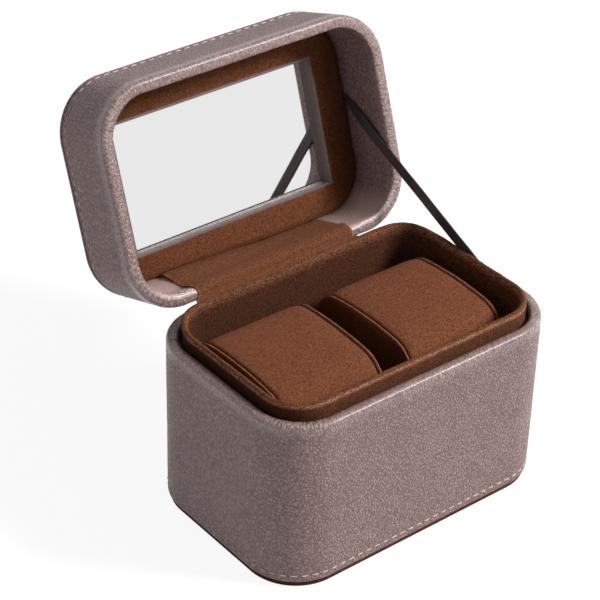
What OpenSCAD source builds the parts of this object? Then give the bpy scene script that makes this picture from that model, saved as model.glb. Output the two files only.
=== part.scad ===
// Travel case for two watches, lid open on its ribbon.
// X runs to the right, the hinge is at +Y, Z is up, origin under the middle of the foot pad.
// Walls are given by their inset, the distance inward from the outer leather face.

/* [Case] */
// Width of the case over the leather
case_w = 150; // [130:1:190]
// Depth of the case, front to back, over the leather
case_d = 99; // [86:1:130]
// Radius of the four upright corners
corner_r = 24.5; // [18:0.5:30]
// Height of the base rim above the table
base_h = 83; // [76:1:110]
// Height of the lid from its rim to its top
lid_h = 36.2; // [30:0.1:50]
// Gap between the two rims when the lid is shut, filled at the back by the folded suede strip
rim_gap = 1.2; // [1:0.1:2]
// Angle of the open lid, measured from shut
open_angle = 108.9; // [95:0.1:115]

/* [Leather and board] */
// Thickness of the leather
leather_t = 0.9; // [0.7:0.1:1.4]
// Thickness of the wall boards
board_t = 2.4; // [1.8:0.1:3]
// Thickness of the base floor board
floor_t = 2.5; // [2:0.1:4]
// Thickness of the lid top board
lid_board_t = 2; // [1.5:0.1:3]
// Rounding of the lid's top edge
lid_edge_r = 2.5; // [1:0.1:2.9]
// Width of the turned and padded hem at each rim
hem_w = 5.4; // [5:0.1:5.6]
// Height of the hem on the inside of a rim
hem_h = 5; // [4:0.5:8]
// Rounding of the hem on the outside
hem_outer_r = 1.2; // [0.8:0.1:1.6]
// Rounding of the hem on the inside
hem_inner_r = 2.4; // [1:0.1:3]
// Rounding of the leather's lower edge
low_edge_r = 0.8; // [0.3:0.1:0.9]
// Width of the leather turned under the base
turn_in = 9; // [6:1:14]

/* [Foot pad] */
// Thickness of the suede foot pad
foot_t = 2.8; // [1:0.1:4]
// Inset of the foot pad from the leather
foot_inset = 1.1; // [0.5:0.1:4]

/* [Collar and tray] */
// Inset of the collar at the left and right
collar_side_inset = 6.3; // [6.2:0.1:8]
// Inset of the collar at the front and back
collar_end_inset = 7; // [6.8:0.1:9]
// Height of the collar above the base rim
collar_rise = 5.8; // [3:0.1:8]
// Thickness of the collar board
collar_board_t = 1.2; // [1:0.1:2]
// Thickness of the suede
suede_t = 0.6; // [0.4:0.1:0.8]
// Length of the suede turned down outside the collar
suede_turn = 14; // [10:1:25]
// Thickness of the tray floor board and its support walls
tray_t = 2; // [1.5:0.1:3]
// Clearance around the tray pieces
tray_fit = 0.3; // [0.2:0.1:0.6]

/* [Cushions] */
// Clearance between a cushion and the collar beside it, which gives the cushion's width
cushion_play = 6.55; // [4:0.05:12]
// Depth of one cushion, front to back
cushion_d = 63; // [50:1:70]
// Height of one cushion
cushion_h = 45; // [36:1:50]
// Rounding of the cushion's long edges
cushion_r = 11; // [8:1:17]
// Radius of the cushion's crowned top
crown_r = 156; // [60:1:240]
// Shift of the cushions towards the front, negative towards the back
cushion_shift = -1; // [-3:0.5:4]
// Shift of the cushions towards the left, within their play
cushion_left = 1; // [0:0.5:2]
// Space between the two cushions
cushion_gap = 11.5; // [8:0.5:16]
// Drop of the cushion tops below the base rim, negative where they stand above it
cushion_drop = -1; // [-2:0.1:6]
// Thickness of a cushion's cover and end panels
cover_t = 1; // [0.8:0.1:1.6]
// Depth of the end panels behind the cover's edge
end_inset = 0.8; // [0.3:0.1:1.5]

/* [Lid lining and mirror] */
// Depth of the lid's pad below the rim
pad_depth = 28; // [22:0.5:28.5]
// Depth of the mirror behind the pad's face
mirror_recess = 3.7; // [2:0.1:3.9]
// Width of the mirror that shows
mirror_w = 108; // [80:1:112]
// Height of the mirror that shows
mirror_h = 58.8; // [40:0.2:60]
// Shift of the mirror towards the hinge
mirror_shift = 1.2; // [0:0.1:3]
// Part of the mirror that is held behind its leather reveal
mirror_lap = 0.8; // [0.5:0.1:3]

/* [Hinge and ribbon] */
// Width of the leather hinge and of the suede strip inside it
hinge_w = 88; // [60:1:92]
// Thickness of the leather hinge
spine_t = 0.9; // [0.7:0.1:1.2]
// Height of the hinge leather glued to each wall
spine_flap = 14; // [8:1:20]
// Thickness of the suede strip over the hinge
strip_t = 0.5; // [0.3:0.1:0.6]
// Length over which the suede strip drops from the lid's hem to its wall
strip_slope = 3; // [2:0.5:6]
// Width of the ribbon stay
ribbon_w = 5.5; // [4:0.5:12]
// Thickness of the ribbon stay
ribbon_t = 0.5; // [0.3:0.1:0.6]
// Depth below the rim at which the ribbon enters the base
ribbon_sink = 1.2; // [0.5:0.1:3]
// Length of the ribbon that is tucked in there
ribbon_tail = 3; // [1:0.5:4]
// Where the ribbon leaves the lid's pad, from the middle towards the hinge
ribbon_lid_y = -6; // [-20:1:10]
// Where the ribbon leaves the base, from the middle towards the hinge
ribbon_base_y = -7.5; // [-20:0.5:10]

/* [Stitching] */
// Spacing of the stitches
stitch_pitch = 4.65; // [3.5:0.05:6]
// Length of one stitch
stitch_l = 3.1; // [2:0.1:3.4]
// Thickness of the thread
thread_t = 0.6; // [0.4:0.1:0.9]
// Height of the base's stitch line above the leather's lower edge
base_stitch_up = 3.5; // [2:0.1:7]
// Drop of the lid's stitch line below the lid's top
lid_stitch_drop = 6.3; // [4:0.1:9]

/* [Hidden] */
$fn = 64;

taupe = [0.45, 0.37, 0.35];
suede_brown = [0.42, 0.25, 0.18];
board_grey = [0.55, 0.53, 0.5];

lining_inset = leather_t + board_t + leather_t;
board_inset = leather_t;
wall_inner_inset = leather_t + board_t;
base_bottom = foot_t;
base_floor_top = base_bottom + leather_t + floor_t;

hinge_y = case_d / 2 + spine_t / 2;
hinge_z = base_h + rim_gap / 2;
lid_rim = base_h + rim_gap;
lid_top = lid_rim + lid_h;
lid_ceiling = lid_top - leather_t - lid_board_t;
pad_face = lid_rim + pad_depth;
mirror_face = pad_face + mirror_recess;

collar_t = collar_board_t + 2 * suede_t;
collar_w = case_w - 2 * collar_side_inset;
collar_d = case_d - 2 * collar_end_inset;
collar_r = corner_r - collar_side_inset;
collar_top = base_h + collar_rise;
packing_top = min(base_h - hem_h, collar_top - suede_turn);
well_w = collar_w - 2 * collar_t;
well_d = collar_d - 2 * collar_t;
well_r = collar_r - collar_t;
cushion_w = (well_w - cushion_gap) / 2 - cushion_play;

// Gap at which loose sheets lie on what is under them
lie_gap = 0.1;

cushion_top = base_h - cushion_drop;
cushion_bottom = cushion_top - cushion_h;
tray_top = cushion_bottom - tray_fit;

// Point of the shut lid in the YZ plane, carried to the open pose
function opened(y, z) = [
  hinge_y + (y - hinge_y) * cos(open_angle) + (z - hinge_z) * sin(open_angle),
  hinge_z - (y - hinge_y) * sin(open_angle) + (z - hinge_z) * cos(open_angle)
];

module opened_lid() {
  translate([0, hinge_y, hinge_z])
    rotate([-open_angle, 0, 0])
      translate([0, -hinge_y, -hinge_z])
        children();
}

module rounded(w, d, r) {
  square([w - 2 * r, d], center = true);
  square([w, d - 2 * r], center = true);
  for (x = [-1, 1], y = [-1, 1])
    translate([x * (w / 2 - r), y * (d / 2 - r)])
      circle(r);
}

// Case outline at an inset from the leather face
module outline(inset) {
  rounded(case_w - 2 * inset, case_d - 2 * inset, corner_r - inset);
}

module plate(inset, z, t) {
  translate([0, 0, z])
    linear_extrude(t)
      outline(inset);
}

module wall(outer, inner, z, h) {
  translate([0, 0, z])
    linear_extrude(h)
      difference() {
        outline(outer);
        outline(inner);
      }
}

// Sweeps a section round a rounded rectangle: section x is the inset, section y is the height
module swept(w, d, r) {
  for (k = [0:3]) {
    along = k % 2 == 0 ? w : d;
    across = k % 2 == 0 ? d : w;
    rotate([0, 0, 90 * k]) {
      translate([-(along / 2 - r), -across / 2, 0])
        rotate([90, 0, 90])
          linear_extrude(along - 2 * r)
            children();
      translate([along / 2 - r, r - across / 2, 0])
        rotate([0, 0, -90])
          rotate_extrude(angle = 90)
            translate([r, 0])
              mirror([1, 0])
                children();
    }
  }
}

// Corner waste: what is cut off a square corner at the origin to round it
module corner_waste(r) {
  difference() {
    translate([-1, -1])
      square([r + 1, r + 1]);
    translate([r, r])
      circle(r);
  }
}

// Section of a rim: skin outside, hem turned over the board and down the inside.
// Drawn with the rim at y = 0 and the wall going up.
module rim_section(skin_h) {
  difference() {
    union() {
      square([leather_t, skin_h]);
      square([hem_w, hem_h]);
    }
    translate([leather_t, leather_t])
      square([board_t, skin_h]);
    corner_waste(hem_outer_r);
    translate([hem_w, 0])
      mirror([1, 0])
        corner_waste(hem_inner_r);
    translate([hem_w, hem_h])
      rotate(180)
        corner_waste((hem_w - wall_inner_inset) / 2);
  }
}

// Stitches along the case outline: half of each stitch lies in the leather
module stitches(z) {
  side_x = case_w - 2 * corner_r;
  side_y = case_d - 2 * corner_r;
  arc = PI * corner_r / 2;
  half = side_x + side_y + 2 * arc;
  count = floor(half / stitch_pitch);
  step = half / count;
  for (turn = [0, 180], i = [0:count - 1]) {
    s = (i + 0.5) * step;
    rotate([0, 0, turn])
      translate([0, 0, z])
        if (s < side_x) {
          translate([s - side_x / 2, -case_d / 2, 0])
            stitch();
        } else if (s < side_x + arc) {
          translate([side_x / 2, -side_y / 2, 0])
            rotate([0, 0, (s - side_x) / arc * 90])
              translate([0, -corner_r, 0])
                stitch();
        } else if (s < side_x + arc + side_y) {
          translate([case_w / 2, s - side_x - arc - side_y / 2, 0])
            rotate([0, 0, 90])
              stitch();
        } else {
          translate([side_x / 2, side_y / 2, 0])
            rotate([0, 0, 90 + (s - side_x - arc - side_y) / arc * 90])
              translate([0, -corner_r, 0])
                stitch();
        }
  }
}

module stitch() {
  cube([stitch_l, thread_t, thread_t], center = true);
}

module foot_pad() {
  color("saddlebrown")
    plate(foot_inset, 0, foot_t);
}

module base_leather_wrap() {
  skin_h = base_h - base_bottom;
  color(taupe)
    translate([0, 0, base_h])
      mirror([0, 0, 1])
        swept(case_w, case_d, corner_r)
          difference() {
            union() {
              rim_section(skin_h);
              translate([0, skin_h - leather_t])
                square([leather_t + turn_in, leather_t]);
            }
            translate([0, skin_h])
              rotate(-90)
                corner_waste(low_edge_r);
          }
}

module base_wall_board() {
  color(board_grey)
    wall(board_inset, wall_inner_inset, base_bottom + leather_t,
      base_h - base_bottom - 2 * leather_t);
}

module base_floor_board() {
  color(board_grey)
    plate(wall_inner_inset, base_bottom + leather_t, floor_t);
}

module base_stitching() {
  color("mistyrose")
    stitches(base_bottom + base_stitch_up);
}

module collar_packing() {
  color(board_grey)
    translate([0, 0, base_floor_top])
      linear_extrude(packing_top - base_floor_top)
        difference() {
          outline(wall_inner_inset);
          rounded(collar_w - 2 * suede_t, collar_d - 2 * suede_t, collar_r - suede_t);
        }
}

module collar_board() {
  color(board_grey)
    translate([0, 0, base_floor_top])
      linear_extrude(collar_top - collar_t / 2 - base_floor_top)
        difference() {
          rounded(collar_w - 2 * suede_t, collar_d - 2 * suede_t, collar_r - suede_t);
          rounded(well_w + 2 * suede_t, well_d + 2 * suede_t, well_r + suede_t);
        }
}

module collar_suede() {
  outside_h = suede_turn;
  inside_h = collar_top - tray_top;
  color(suede_brown)
    translate([0, 0, collar_top])
      mirror([0, 0, 1])
        swept(collar_w, collar_d, collar_r)
          difference() {
            union() {
              translate([collar_t / 2, collar_t / 2])
                circle(collar_t / 2);
              translate([0, collar_t / 2])
                square([collar_t / 2, outside_h - collar_t / 2]);
              translate([collar_t / 2, collar_t / 2])
                square([collar_t / 2, inside_h - collar_t / 2]);
            }
            translate([suede_t, collar_t / 2])
              square([collar_board_t, inside_h]);
          }
}

module tray_support() {
  color(board_grey)
    translate([0, 0, base_floor_top])
      linear_extrude(tray_top - suede_t - tray_t - base_floor_top)
        difference() {
          tray_outline();
          rounded(well_w - 2 * tray_t, well_d - 2 * tray_t, well_r - tray_t);
        }
}

module tray_outline() {
  rounded(well_w + 2 * suede_t - 2 * tray_fit, well_d + 2 * suede_t - 2 * tray_fit,
    well_r + suede_t - tray_fit);
}

module tray_floor_board() {
  color(board_grey)
    translate([0, 0, tray_top - suede_t - tray_t])
      linear_extrude(tray_t)
        tray_outline();
}

module tray_floor_suede() {
  color(suede_brown)
    translate([0, 0, tray_top - suede_t])
      linear_extrude(suede_t)
        tray_outline();
}

// Places a cushion piece drawn with x from 0 to cushion_w; side is -1 or 1
module on_side(side) {
  translate([(side > 0 ? cushion_gap / 2 : -cushion_gap / 2 - cushion_w) - cushion_left, 0, 0])
    children();
}

// A bar along X with the cushion's crowned section, shrunk all round
module cushion_bar(shrink, x, length) {
  translate([x, -cushion_shift, cushion_bottom + cushion_h / 2])
    rotate([90, 0, 90])
      linear_extrude(length)
        intersection() {
          rounded(cushion_d - 2 * shrink, cushion_h - 2 * shrink, cushion_r - shrink);
          translate([0, cushion_h / 2 - crown_r])
            circle(crown_r - shrink);
        }
}

module cushion_core(side) {
  color("wheat")
    on_side(side)
      cushion_bar(cover_t, end_inset + cover_t, cushion_w - 2 * (end_inset + cover_t));
}

module cushion_cover(side) {
  color(suede_brown)
    on_side(side)
      difference() {
        cushion_bar(0, 0, cushion_w);
        cushion_bar(cover_t, -1, cushion_w + 2);
      }
}

module cushion_ends(side) {
  color(suede_brown)
    on_side(side) {
      cushion_bar(cover_t, end_inset, cover_t);
      cushion_bar(cover_t, cushion_w - end_inset - cover_t, cover_t);
    }
}

module left_cushion_core() {
  cushion_core(-1);
}

module left_cushion_cover() {
  cushion_cover(-1);
}

module left_cushion_end_panels() {
  cushion_ends(-1);
}

module right_cushion_core() {
  cushion_core(1);
}

module right_cushion_cover() {
  cushion_cover(1);
}

module right_cushion_end_panels() {
  cushion_ends(1);
}

module lid_leather_wrap() {
  color(taupe)
    opened_lid()
      translate([0, 0, lid_rim])
        swept(case_w, case_d, corner_r)
          rim_section(lid_ceiling - lid_rim);
}

module lid_wall_board() {
  color(board_grey)
    opened_lid()
      wall(board_inset, wall_inner_inset, lid_rim + leather_t, lid_ceiling - lid_rim - leather_t);
}

module lid_top_board() {
  color(board_grey)
    opened_lid()
      plate(lid_edge_r, lid_ceiling, lid_board_t);
}

// The top leather caps the wall: a plate with a rounded edge turned down round the top board
module lid_top_leather() {
  cap_h = leather_t + lid_board_t;
  color(taupe)
    opened_lid() {
      plate(lid_edge_r, lid_top - leather_t, leather_t);
      translate([0, 0, lid_top])
        mirror([0, 0, 1])
          swept(case_w, case_d, corner_r)
            difference() {
              union() {
                square([lid_edge_r, cap_h]);
                square([lid_edge_r + leather_t, leather_t]);
              }
              corner_waste(lid_edge_r);
            }
    }
}

module lid_stitching() {
  color("mistyrose")
    opened_lid()
      stitches(lid_top - lid_stitch_drop);
}

module lid_inner_lining() {
  color(taupe)
    opened_lid()
      wall(wall_inner_inset, lining_inset, lid_rim + hem_h, lid_ceiling - lid_rim - hem_h);
}

// Opening of the mirror, grown all round
module mirror_outline(grow) {
  translate([0, mirror_shift])
    square([mirror_w + 2 * grow, mirror_h + 2 * grow], center = true);
}

module lid_pad_foam() {
  color("wheat")
    opened_lid()
      difference() {
        plate(lining_inset, pad_face + suede_t, lid_ceiling - pad_face - suede_t);
        translate([0, 0, pad_face])
          linear_extrude(lid_ceiling - pad_face + 1)
            mirror_outline(mirror_lap);
      }
}

module lid_pad_suede() {
  color(suede_brown)
    opened_lid()
      translate([0, 0, pad_face])
        linear_extrude(suede_t)
          difference() {
            outline(lining_inset);
            mirror_outline(0);
          }
}

module mirror_reveal() {
  color(taupe)
    opened_lid()
      translate([0, 0, pad_face + suede_t])
        linear_extrude(mirror_recess - suede_t)
          difference() {
            mirror_outline(mirror_lap);
            mirror_outline(0);
          }
}

module mirror_glass() {
  color("lightgrey")
    opened_lid()
      translate([0, 0, mirror_face])
        linear_extrude(lid_ceiling - mirror_face)
          mirror_outline(mirror_lap);
}

// Leather hinge glued on the two back walls, folded where the open lid leans back
module hinge_leather() {
  color(taupe)
    translate([-hinge_w / 2, 0, 0])
      rotate([90, 0, 90])
        linear_extrude(hinge_w) {
          translate([case_d / 2, base_h - spine_flap])
            square([spine_t, spine_flap + rim_gap / 2]);
          translate([hinge_y, hinge_z])
            circle(spine_t / 2);
          translate([hinge_y, hinge_z])
            rotate(-open_angle)
              translate([-spine_t / 2, 0])
                square([spine_t, spine_flap]);
        }
}

// Middle line of the suede strip: out of the slot behind the collar, over the base's hem,
// through the valley at the hinge, over the lid's hem and along its wall to the pad
strip_lie = strip_t / 2 + lie_gap;
strip_hem = case_d / 2 - hem_w - strip_lie;
strip_back = case_d / 2 - lining_inset - strip_lie;
hem_middle = case_d / 2 - hem_w + hem_inner_r;
hem_reach = hem_inner_r + strip_lie;
valley_off = rim_gap / 2 - strip_lie;
valley_r = valley_off + (hinge_y - hem_middle) * tan(open_angle / 2);

// Points of an arc, without the first and last few if they are skipped
function bend(c, r, from, to, n, skip = 0) = [
  for (i = [skip:n - skip]) c + r * [cos(from + (to - from) * i / n), sin(from + (to - from) * i / n)]
];

strip_path = concat(
  [[strip_hem, base_h - hem_h + lie_gap]],
  bend([hem_middle, base_h - hem_inner_r], hem_reach, 180, 90, 6),
  bend([hem_middle, hinge_z - valley_off + valley_r], valley_r, 270, 450 - open_angle, 7, skip = 1),
  [for (p = bend([hem_middle, lid_rim + hem_inner_r], hem_reach, 270, 180, 6)) opened(p[0], p[1])],
  [
    opened(strip_hem, lid_rim + hem_h),
    opened(strip_back, lid_rim + hem_h + strip_slope),
    opened(strip_back, pad_face - lie_gap)
  ]
);

function unit(v) = v / norm(v);

// Normal of the path at a point, the mean of its two sides
function path_normal(p, i) =
  let (
    a = i > 0 ? unit(p[i] - p[i - 1]) : unit(p[1] - p[0]),
    b = i < len(p) - 1 ? unit(p[i + 1] - p[i]) : a,
    m = unit(a + b)
  ) [-m[1], m[0]];

function beside(p, off) = [for (i = [0:len(p) - 1]) p[i] + off * path_normal(p, i)];

module hinge_suede_strip() {
  left = beside(strip_path, strip_t / 2);
  right = beside(strip_path, -strip_t / 2);
  color(suede_brown)
    translate([-hinge_w / 2, 0, 0])
      rotate([90, 0, 90])
        linear_extrude(hinge_w)
          polygon(concat(left, [for (i = [len(right) - 1:-1:0]) right[i]]));
}

// Ribbon from the slot beside the collar up to the lid's pad, inside both hems
ribbon_x = case_w / 2 - (hem_w + collar_side_inset) / 2;
ribbon_base = [ribbon_base_y, base_h - ribbon_sink];
ribbon_lid = opened(ribbon_lid_y, pad_face);

module ribbon_stay() {
  run = ribbon_lid - ribbon_base;
  color([0.16, 0.1, 0.1])
    difference() {
      translate([ribbon_x, ribbon_base[0], ribbon_base[1]])
        rotate([atan2(run[1], run[0]), 0, 0])
          translate([-ribbon_t / 2, -ribbon_tail, -ribbon_w / 2])
            cube([ribbon_t, ribbon_tail + norm(run) + ribbon_w, ribbon_w]);
      opened_lid()
        plate(0, pad_face, lid_top - pad_face);
    }
}

foot_pad();
base_leather_wrap();
base_wall_board();
base_floor_board();
base_stitching();
collar_packing();
collar_board();
collar_suede();
tray_support();
tray_floor_board();
tray_floor_suede();
left_cushion_core();
left_cushion_cover();
left_cushion_end_panels();
right_cushion_core();
right_cushion_cover();
right_cushion_end_panels();
lid_leather_wrap();
lid_wall_board();
lid_top_board();
lid_top_leather();
lid_stitching();
lid_inner_lining();
lid_pad_foam();
lid_pad_suede();
mirror_reveal();
mirror_glass();
hinge_leather();
hinge_suede_strip();
ribbon_stay();
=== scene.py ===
import math

import bmesh
import bpy
from mathutils import Matrix, Vector, noise
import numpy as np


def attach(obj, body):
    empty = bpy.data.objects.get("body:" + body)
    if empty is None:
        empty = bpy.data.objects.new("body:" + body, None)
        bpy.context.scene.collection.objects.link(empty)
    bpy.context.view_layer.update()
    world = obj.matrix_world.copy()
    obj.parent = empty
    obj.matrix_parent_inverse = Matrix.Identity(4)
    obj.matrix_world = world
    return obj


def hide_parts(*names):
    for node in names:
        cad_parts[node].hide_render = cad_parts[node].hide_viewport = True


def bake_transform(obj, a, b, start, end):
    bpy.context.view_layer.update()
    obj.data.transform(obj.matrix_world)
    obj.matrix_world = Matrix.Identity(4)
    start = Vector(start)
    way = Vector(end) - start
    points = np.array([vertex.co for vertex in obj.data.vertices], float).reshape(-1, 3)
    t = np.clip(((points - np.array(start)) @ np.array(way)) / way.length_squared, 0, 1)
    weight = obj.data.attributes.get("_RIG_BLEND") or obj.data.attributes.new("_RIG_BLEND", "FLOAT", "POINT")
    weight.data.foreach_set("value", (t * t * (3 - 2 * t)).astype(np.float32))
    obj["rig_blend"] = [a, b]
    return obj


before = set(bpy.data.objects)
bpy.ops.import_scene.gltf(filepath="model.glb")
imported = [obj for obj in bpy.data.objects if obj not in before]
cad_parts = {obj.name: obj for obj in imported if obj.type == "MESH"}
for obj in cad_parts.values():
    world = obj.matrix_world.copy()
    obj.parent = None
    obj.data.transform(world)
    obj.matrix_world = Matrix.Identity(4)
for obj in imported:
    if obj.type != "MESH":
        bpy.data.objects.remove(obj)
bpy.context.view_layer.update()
print("frame loaded:", len(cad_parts), "nodes")

mm = 0.001
quarter = math.pi / 2
caseSizes = {  # millimetres and degrees, as in the part's source
    "width": 150.0, "depth": 99.0, "cornerR": 24.5, "rimZ": 83.0, "rimGap": 1.2, "lidH": 36.2,
    "leather": 0.9, "board": 2.4, "footT": 2.8, "hingeY": 49.95, "hingeZ": 83.6, "openAngle": 108.9,
}
halfW, halfD = caseSizes["width"] / 2, caseSizes["depth"] / 2
cornerR, rimZ = caseSizes["cornerR"], caseSizes["rimZ"]
cornerX, cornerY = halfW - cornerR, halfD - cornerR
hingeY, hingeZ, openAngle = caseSizes["hingeY"], caseSizes["hingeZ"], caseSizes["openAngle"]
lidRimZ = rimZ + caseSizes["rimGap"]
lidTopZ = lidRimZ + caseSizes["lidH"]
sideRun, endRun, arcRun = 2 * cornerX, 2 * cornerY, math.pi * cornerR / 2
ringLength = 2 * sideRun + 2 * endRun + 4 * arcRun


def lerp(a, b, t):
    return a + (b - a) * t


def smoothStep(low, high, x):
    t = min(1.0, max(0.0, (x - low) / (high - low)))
    return t * t * (3 - 2 * t)


def bump(x, width):
    # a soft hill of height 1 round 0
    return math.exp(-((x / width) ** 2))


def grainNoise(x, y, z=0.0):
    return noise.noise(Vector((x, y, z)))


def arc(cx, cy, radius, fromDeg, toDeg, steps):
    turns = [math.radians(lerp(fromDeg, toDeg, k / steps)) for k in range(steps + 1)]
    return [(cx + radius * math.cos(a), cy + radius * math.sin(a)) for a in turns]


def densify(points, step):
    # the same line with no stretch longer than step
    out = []
    for (x0, y0), (x1, y1) in zip(points, points[1:]):
        n = max(1, math.ceil(math.hypot(x1 - x0, y1 - y0) / step))
        out += [(lerp(x0, x1, k / n), lerp(y0, y1, k / n)) for k in range(n)]
    return out + [points[-1]]


def curveThrough(points, steps):
    # a smooth line through the points
    out = []
    for i in range(len(points) - 1):
        p0, p1, p2 = points[max(i - 1, 0)], points[i], points[i + 1]
        p3 = points[min(i + 2, len(points) - 1)]
        for k in range(steps):
            t = k / steps
            out.append(tuple(
                0.5 * (2 * b + (c - a) * t + (2 * a - 5 * b + 4 * c - d) * t * t
                       + (3 * b - a - 3 * c + d) * t ** 3)
                for a, b, c, d in zip(p0, p1, p2, p3)))
    return out + [points[-1]]


def ringAlong(x, y):
    # distance round the case from the middle of the back, counter-clockwise seen from above
    ax, ay = cornerX, cornerY
    turn = math.atan2(y - max(-ay, min(ay, y)), x - max(-ax, min(ax, x)))
    if abs(x) < ax:
        return (-x if y > 0 else 2 * ax + 2 * arcRun + endRun + x) % ringLength
    if abs(y) < ay:
        return ax + arcRun + ay - y if x < 0 else 3 * ax + 3 * arcRun + endRun + ay + y
    if x < 0 and y > 0:
        return ax + (turn - quarter) / quarter * arcRun
    if x < 0:
        return ax + arcRun + endRun + (turn + math.pi) / quarter * arcRun
    if y < 0:
        return 3 * ax + 2 * arcRun + endRun + (turn + quarter) / quarter * arcRun
    return 3 * ax + 3 * arcRun + 2 * endRun + turn / quarter * arcRun


def ringPlace(s):
    # point of the outline and outward direction at a distance round the case
    ax, ay = cornerX, cornerY
    s = s % ringLength
    runs = [
        (ax, (0, halfD), (-1, 0)), (arcRun, (-ax, ay), 90), (endRun, (-halfW, ay), (0, -1)),
        (arcRun, (-ax, -ay), 180), (sideRun, (-ax, -halfD), (1, 0)), (arcRun, (ax, -ay), 270),
        (endRun, (halfW, -ay), (0, 1)), (arcRun, (ax, ay), 0), (ax, (ax, halfD), (-1, 0)),
    ]
    for length, start, way in runs:
        if s <= length:
            if isinstance(way, tuple):
                place = Vector((start[0] + way[0] * s, start[1] + way[1] * s, 0))
                return place, Vector((way[1], -way[0], 0))
            a = math.radians(way + 90 * s / length)
            out = Vector((math.cos(a), math.sin(a), 0))
            return Vector((start[0], start[1], 0)) + out * cornerR, out
        s -= length
    return Vector((0, halfD, 0)), Vector((0, 1, 0))


def addMeasures(bm, *names):
    # vertex measures that the materials read
    return [bm.verts.layers.float.new(name) for name in names]


def startSection(bm, section, place):
    # the section's vertices, each with its distance across; place puts a point into the model
    across, along, _ = addMeasures(bm, "across", "along", "hem")
    run, verts = 0.0, []
    for i, point in enumerate(section):
        if i:
            run += math.dist(point, section[i - 1])
        verts.append(bm.verts.new(place(*point)))
        verts[-1][across] = run
    return verts, along


def extrudeLine(bm, edges, move):
    # pulls a line of edges out; gives its new points, its new edges and the edges in between
    made = bmesh.ops.extrude_edge_only(bm, edges=edges)["geom"]
    fresh = [g for g in made if isinstance(g, bmesh.types.BMVert)]
    bmesh.ops.translate(bm, verts=fresh, vec=move)
    ends = set(fresh)
    line = [g for g in made if isinstance(g, bmesh.types.BMEdge)
            and g.verts[0] in ends and g.verts[1] in ends]
    pulled = [e for v in fresh for e in v.link_edges if e.other_vert(v) not in ends]
    return fresh, line, pulled


def sweepRing(section, width, depth, radius, step=1.1, closed=True):
    # carries a section of (inset, height) points round a rounded rectangle, from the back's middle
    bm = bmesh.new()
    verts, along = startSection(bm, section, lambda inset, height: (0, depth / 2 - inset, height))
    edges = [bm.edges.new(pair) for pair in zip(verts, verts[1:])]
    if closed:
        edges.append(bm.edges.new((verts[-1], verts[0])))
    ax, ay = width / 2 - radius, depth / 2 - radius
    turns = max(6, round(math.pi / 2 * radius / step))
    straights = []
    for length, way, centre in (
        (ax, (-1, 0, 0), (-ax, ay, 0)), (2 * ay, (0, -1, 0), (-ax, -ay, 0)),
        (2 * ax, (1, 0, 0), (ax, -ay, 0)), (2 * ay, (0, 1, 0), (ax, ay, 0)), (ax, (-1, 0, 0), None),
    ):
        fresh, edges, pulled = extrudeLine(bm, edges, Vector(way) * length)
        straights.append((pulled, round(length / step) - 1))
        if centre:
            made = bmesh.ops.spin(
                bm, geom=edges + fresh, cent=centre, axis=(0, 0, 1), angle=quarter, steps=turns,
                use_merge=False, use_duplicate=False,
            )["geom_last"]
            edges = [g for g in made if isinstance(g, bmesh.types.BMEdge)]
    for pulled, cuts in straights:
        bmesh.ops.subdivide_edges(bm, edges=pulled, cuts=cuts)
    bmesh.ops.remove_doubles(bm, verts=bm.verts, dist=1e-3)
    for v in bm.verts:
        v[along] = ringAlong(v.co.x, v.co.y)
    bmesh.ops.recalc_face_normals(bm, faces=bm.faces)
    return bm


def roundEdges(bm, edges, radius, segments):
    bmesh.ops.bevel(bm, geom=edges, offset=radius, segments=segments, profile=0.5,
                    affect="EDGES", material=-1)


def sweepBar(section, width, cuts, xMiddle=0.0, rounding=0.2):
    # a closed section of (y, z) points carried along x, with softly rounded ends
    bm = bmesh.new()
    verts, along = startSection(bm, section, lambda y, z: (xMiddle - width / 2, y, z))
    first = [bm.edges.new(pair) for pair in zip(verts, verts[1:] + verts[:1])]
    _, last, pulled = extrudeLine(bm, first, Vector((width, 0, 0)))
    bmesh.ops.subdivide_edges(bm, edges=pulled, cuts=cuts)
    bmesh.ops.holes_fill(bm, edges=first + last, sides=0)
    bmesh.ops.recalc_face_normals(bm, faces=bm.faces)
    roundEdges(bm, first + last, rounding, 2)
    for v in bm.verts:
        v[along] = v.co.x
    return bm


def bandSection(points, thick):
    # closed outline of a band of even thickness along a line of (y, z) points
    upper, lower = [], []
    for i, (y, z) in enumerate(points):
        y0, z0 = points[max(i - 1, 0)]
        y1, z1 = points[min(i + 1, len(points) - 1)]
        length = math.hypot(y1 - y0, z1 - z0)
        ny, nz = -(z1 - z0) / length * thick / 2, (y1 - y0) / length * thick / 2
        upper.append((y + ny, z + nz))
        lower.append((y - ny, z - nz))
    return upper + lower[::-1]


def boxBlank(size, middle=(0, 0, 0)):
    bm = bmesh.new()
    bmesh.ops.create_cube(bm, size=1.0)
    bmesh.ops.scale(bm, verts=bm.verts, vec=size)
    bmesh.ops.translate(bm, verts=bm.verts, vec=middle)
    return bm


def longEdges(bm, axis, least=1.0):
    # edges that run further than least along one axis
    return [e for e in bm.edges if abs(e.verts[0].co[axis] - e.verts[1].co[axis]) > least]


def edgesOf(faces):
    return [e for f in faces for e in f.edges]


def ringCaps(bm, caps, rings, width):
    # divides flat many-sided faces into rings and a fan
    for _ in range(rings):
        bmesh.ops.inset_region(bm, faces=caps, thickness=width, use_even_offset=True)
    bmesh.ops.poke(bm, faces=caps)


def relief(bm, move):
    # moves each vertex along its normal by move(vertex, along, across)
    bm.normal_update()
    along, across = bm.verts.layers.float["along"], bm.verts.layers.float["across"]
    shifts = [(v, v.normal * move(v, v[along], v[across])) for v in bm.verts]
    for v, shift in shifts:
        v.co += shift


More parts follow.
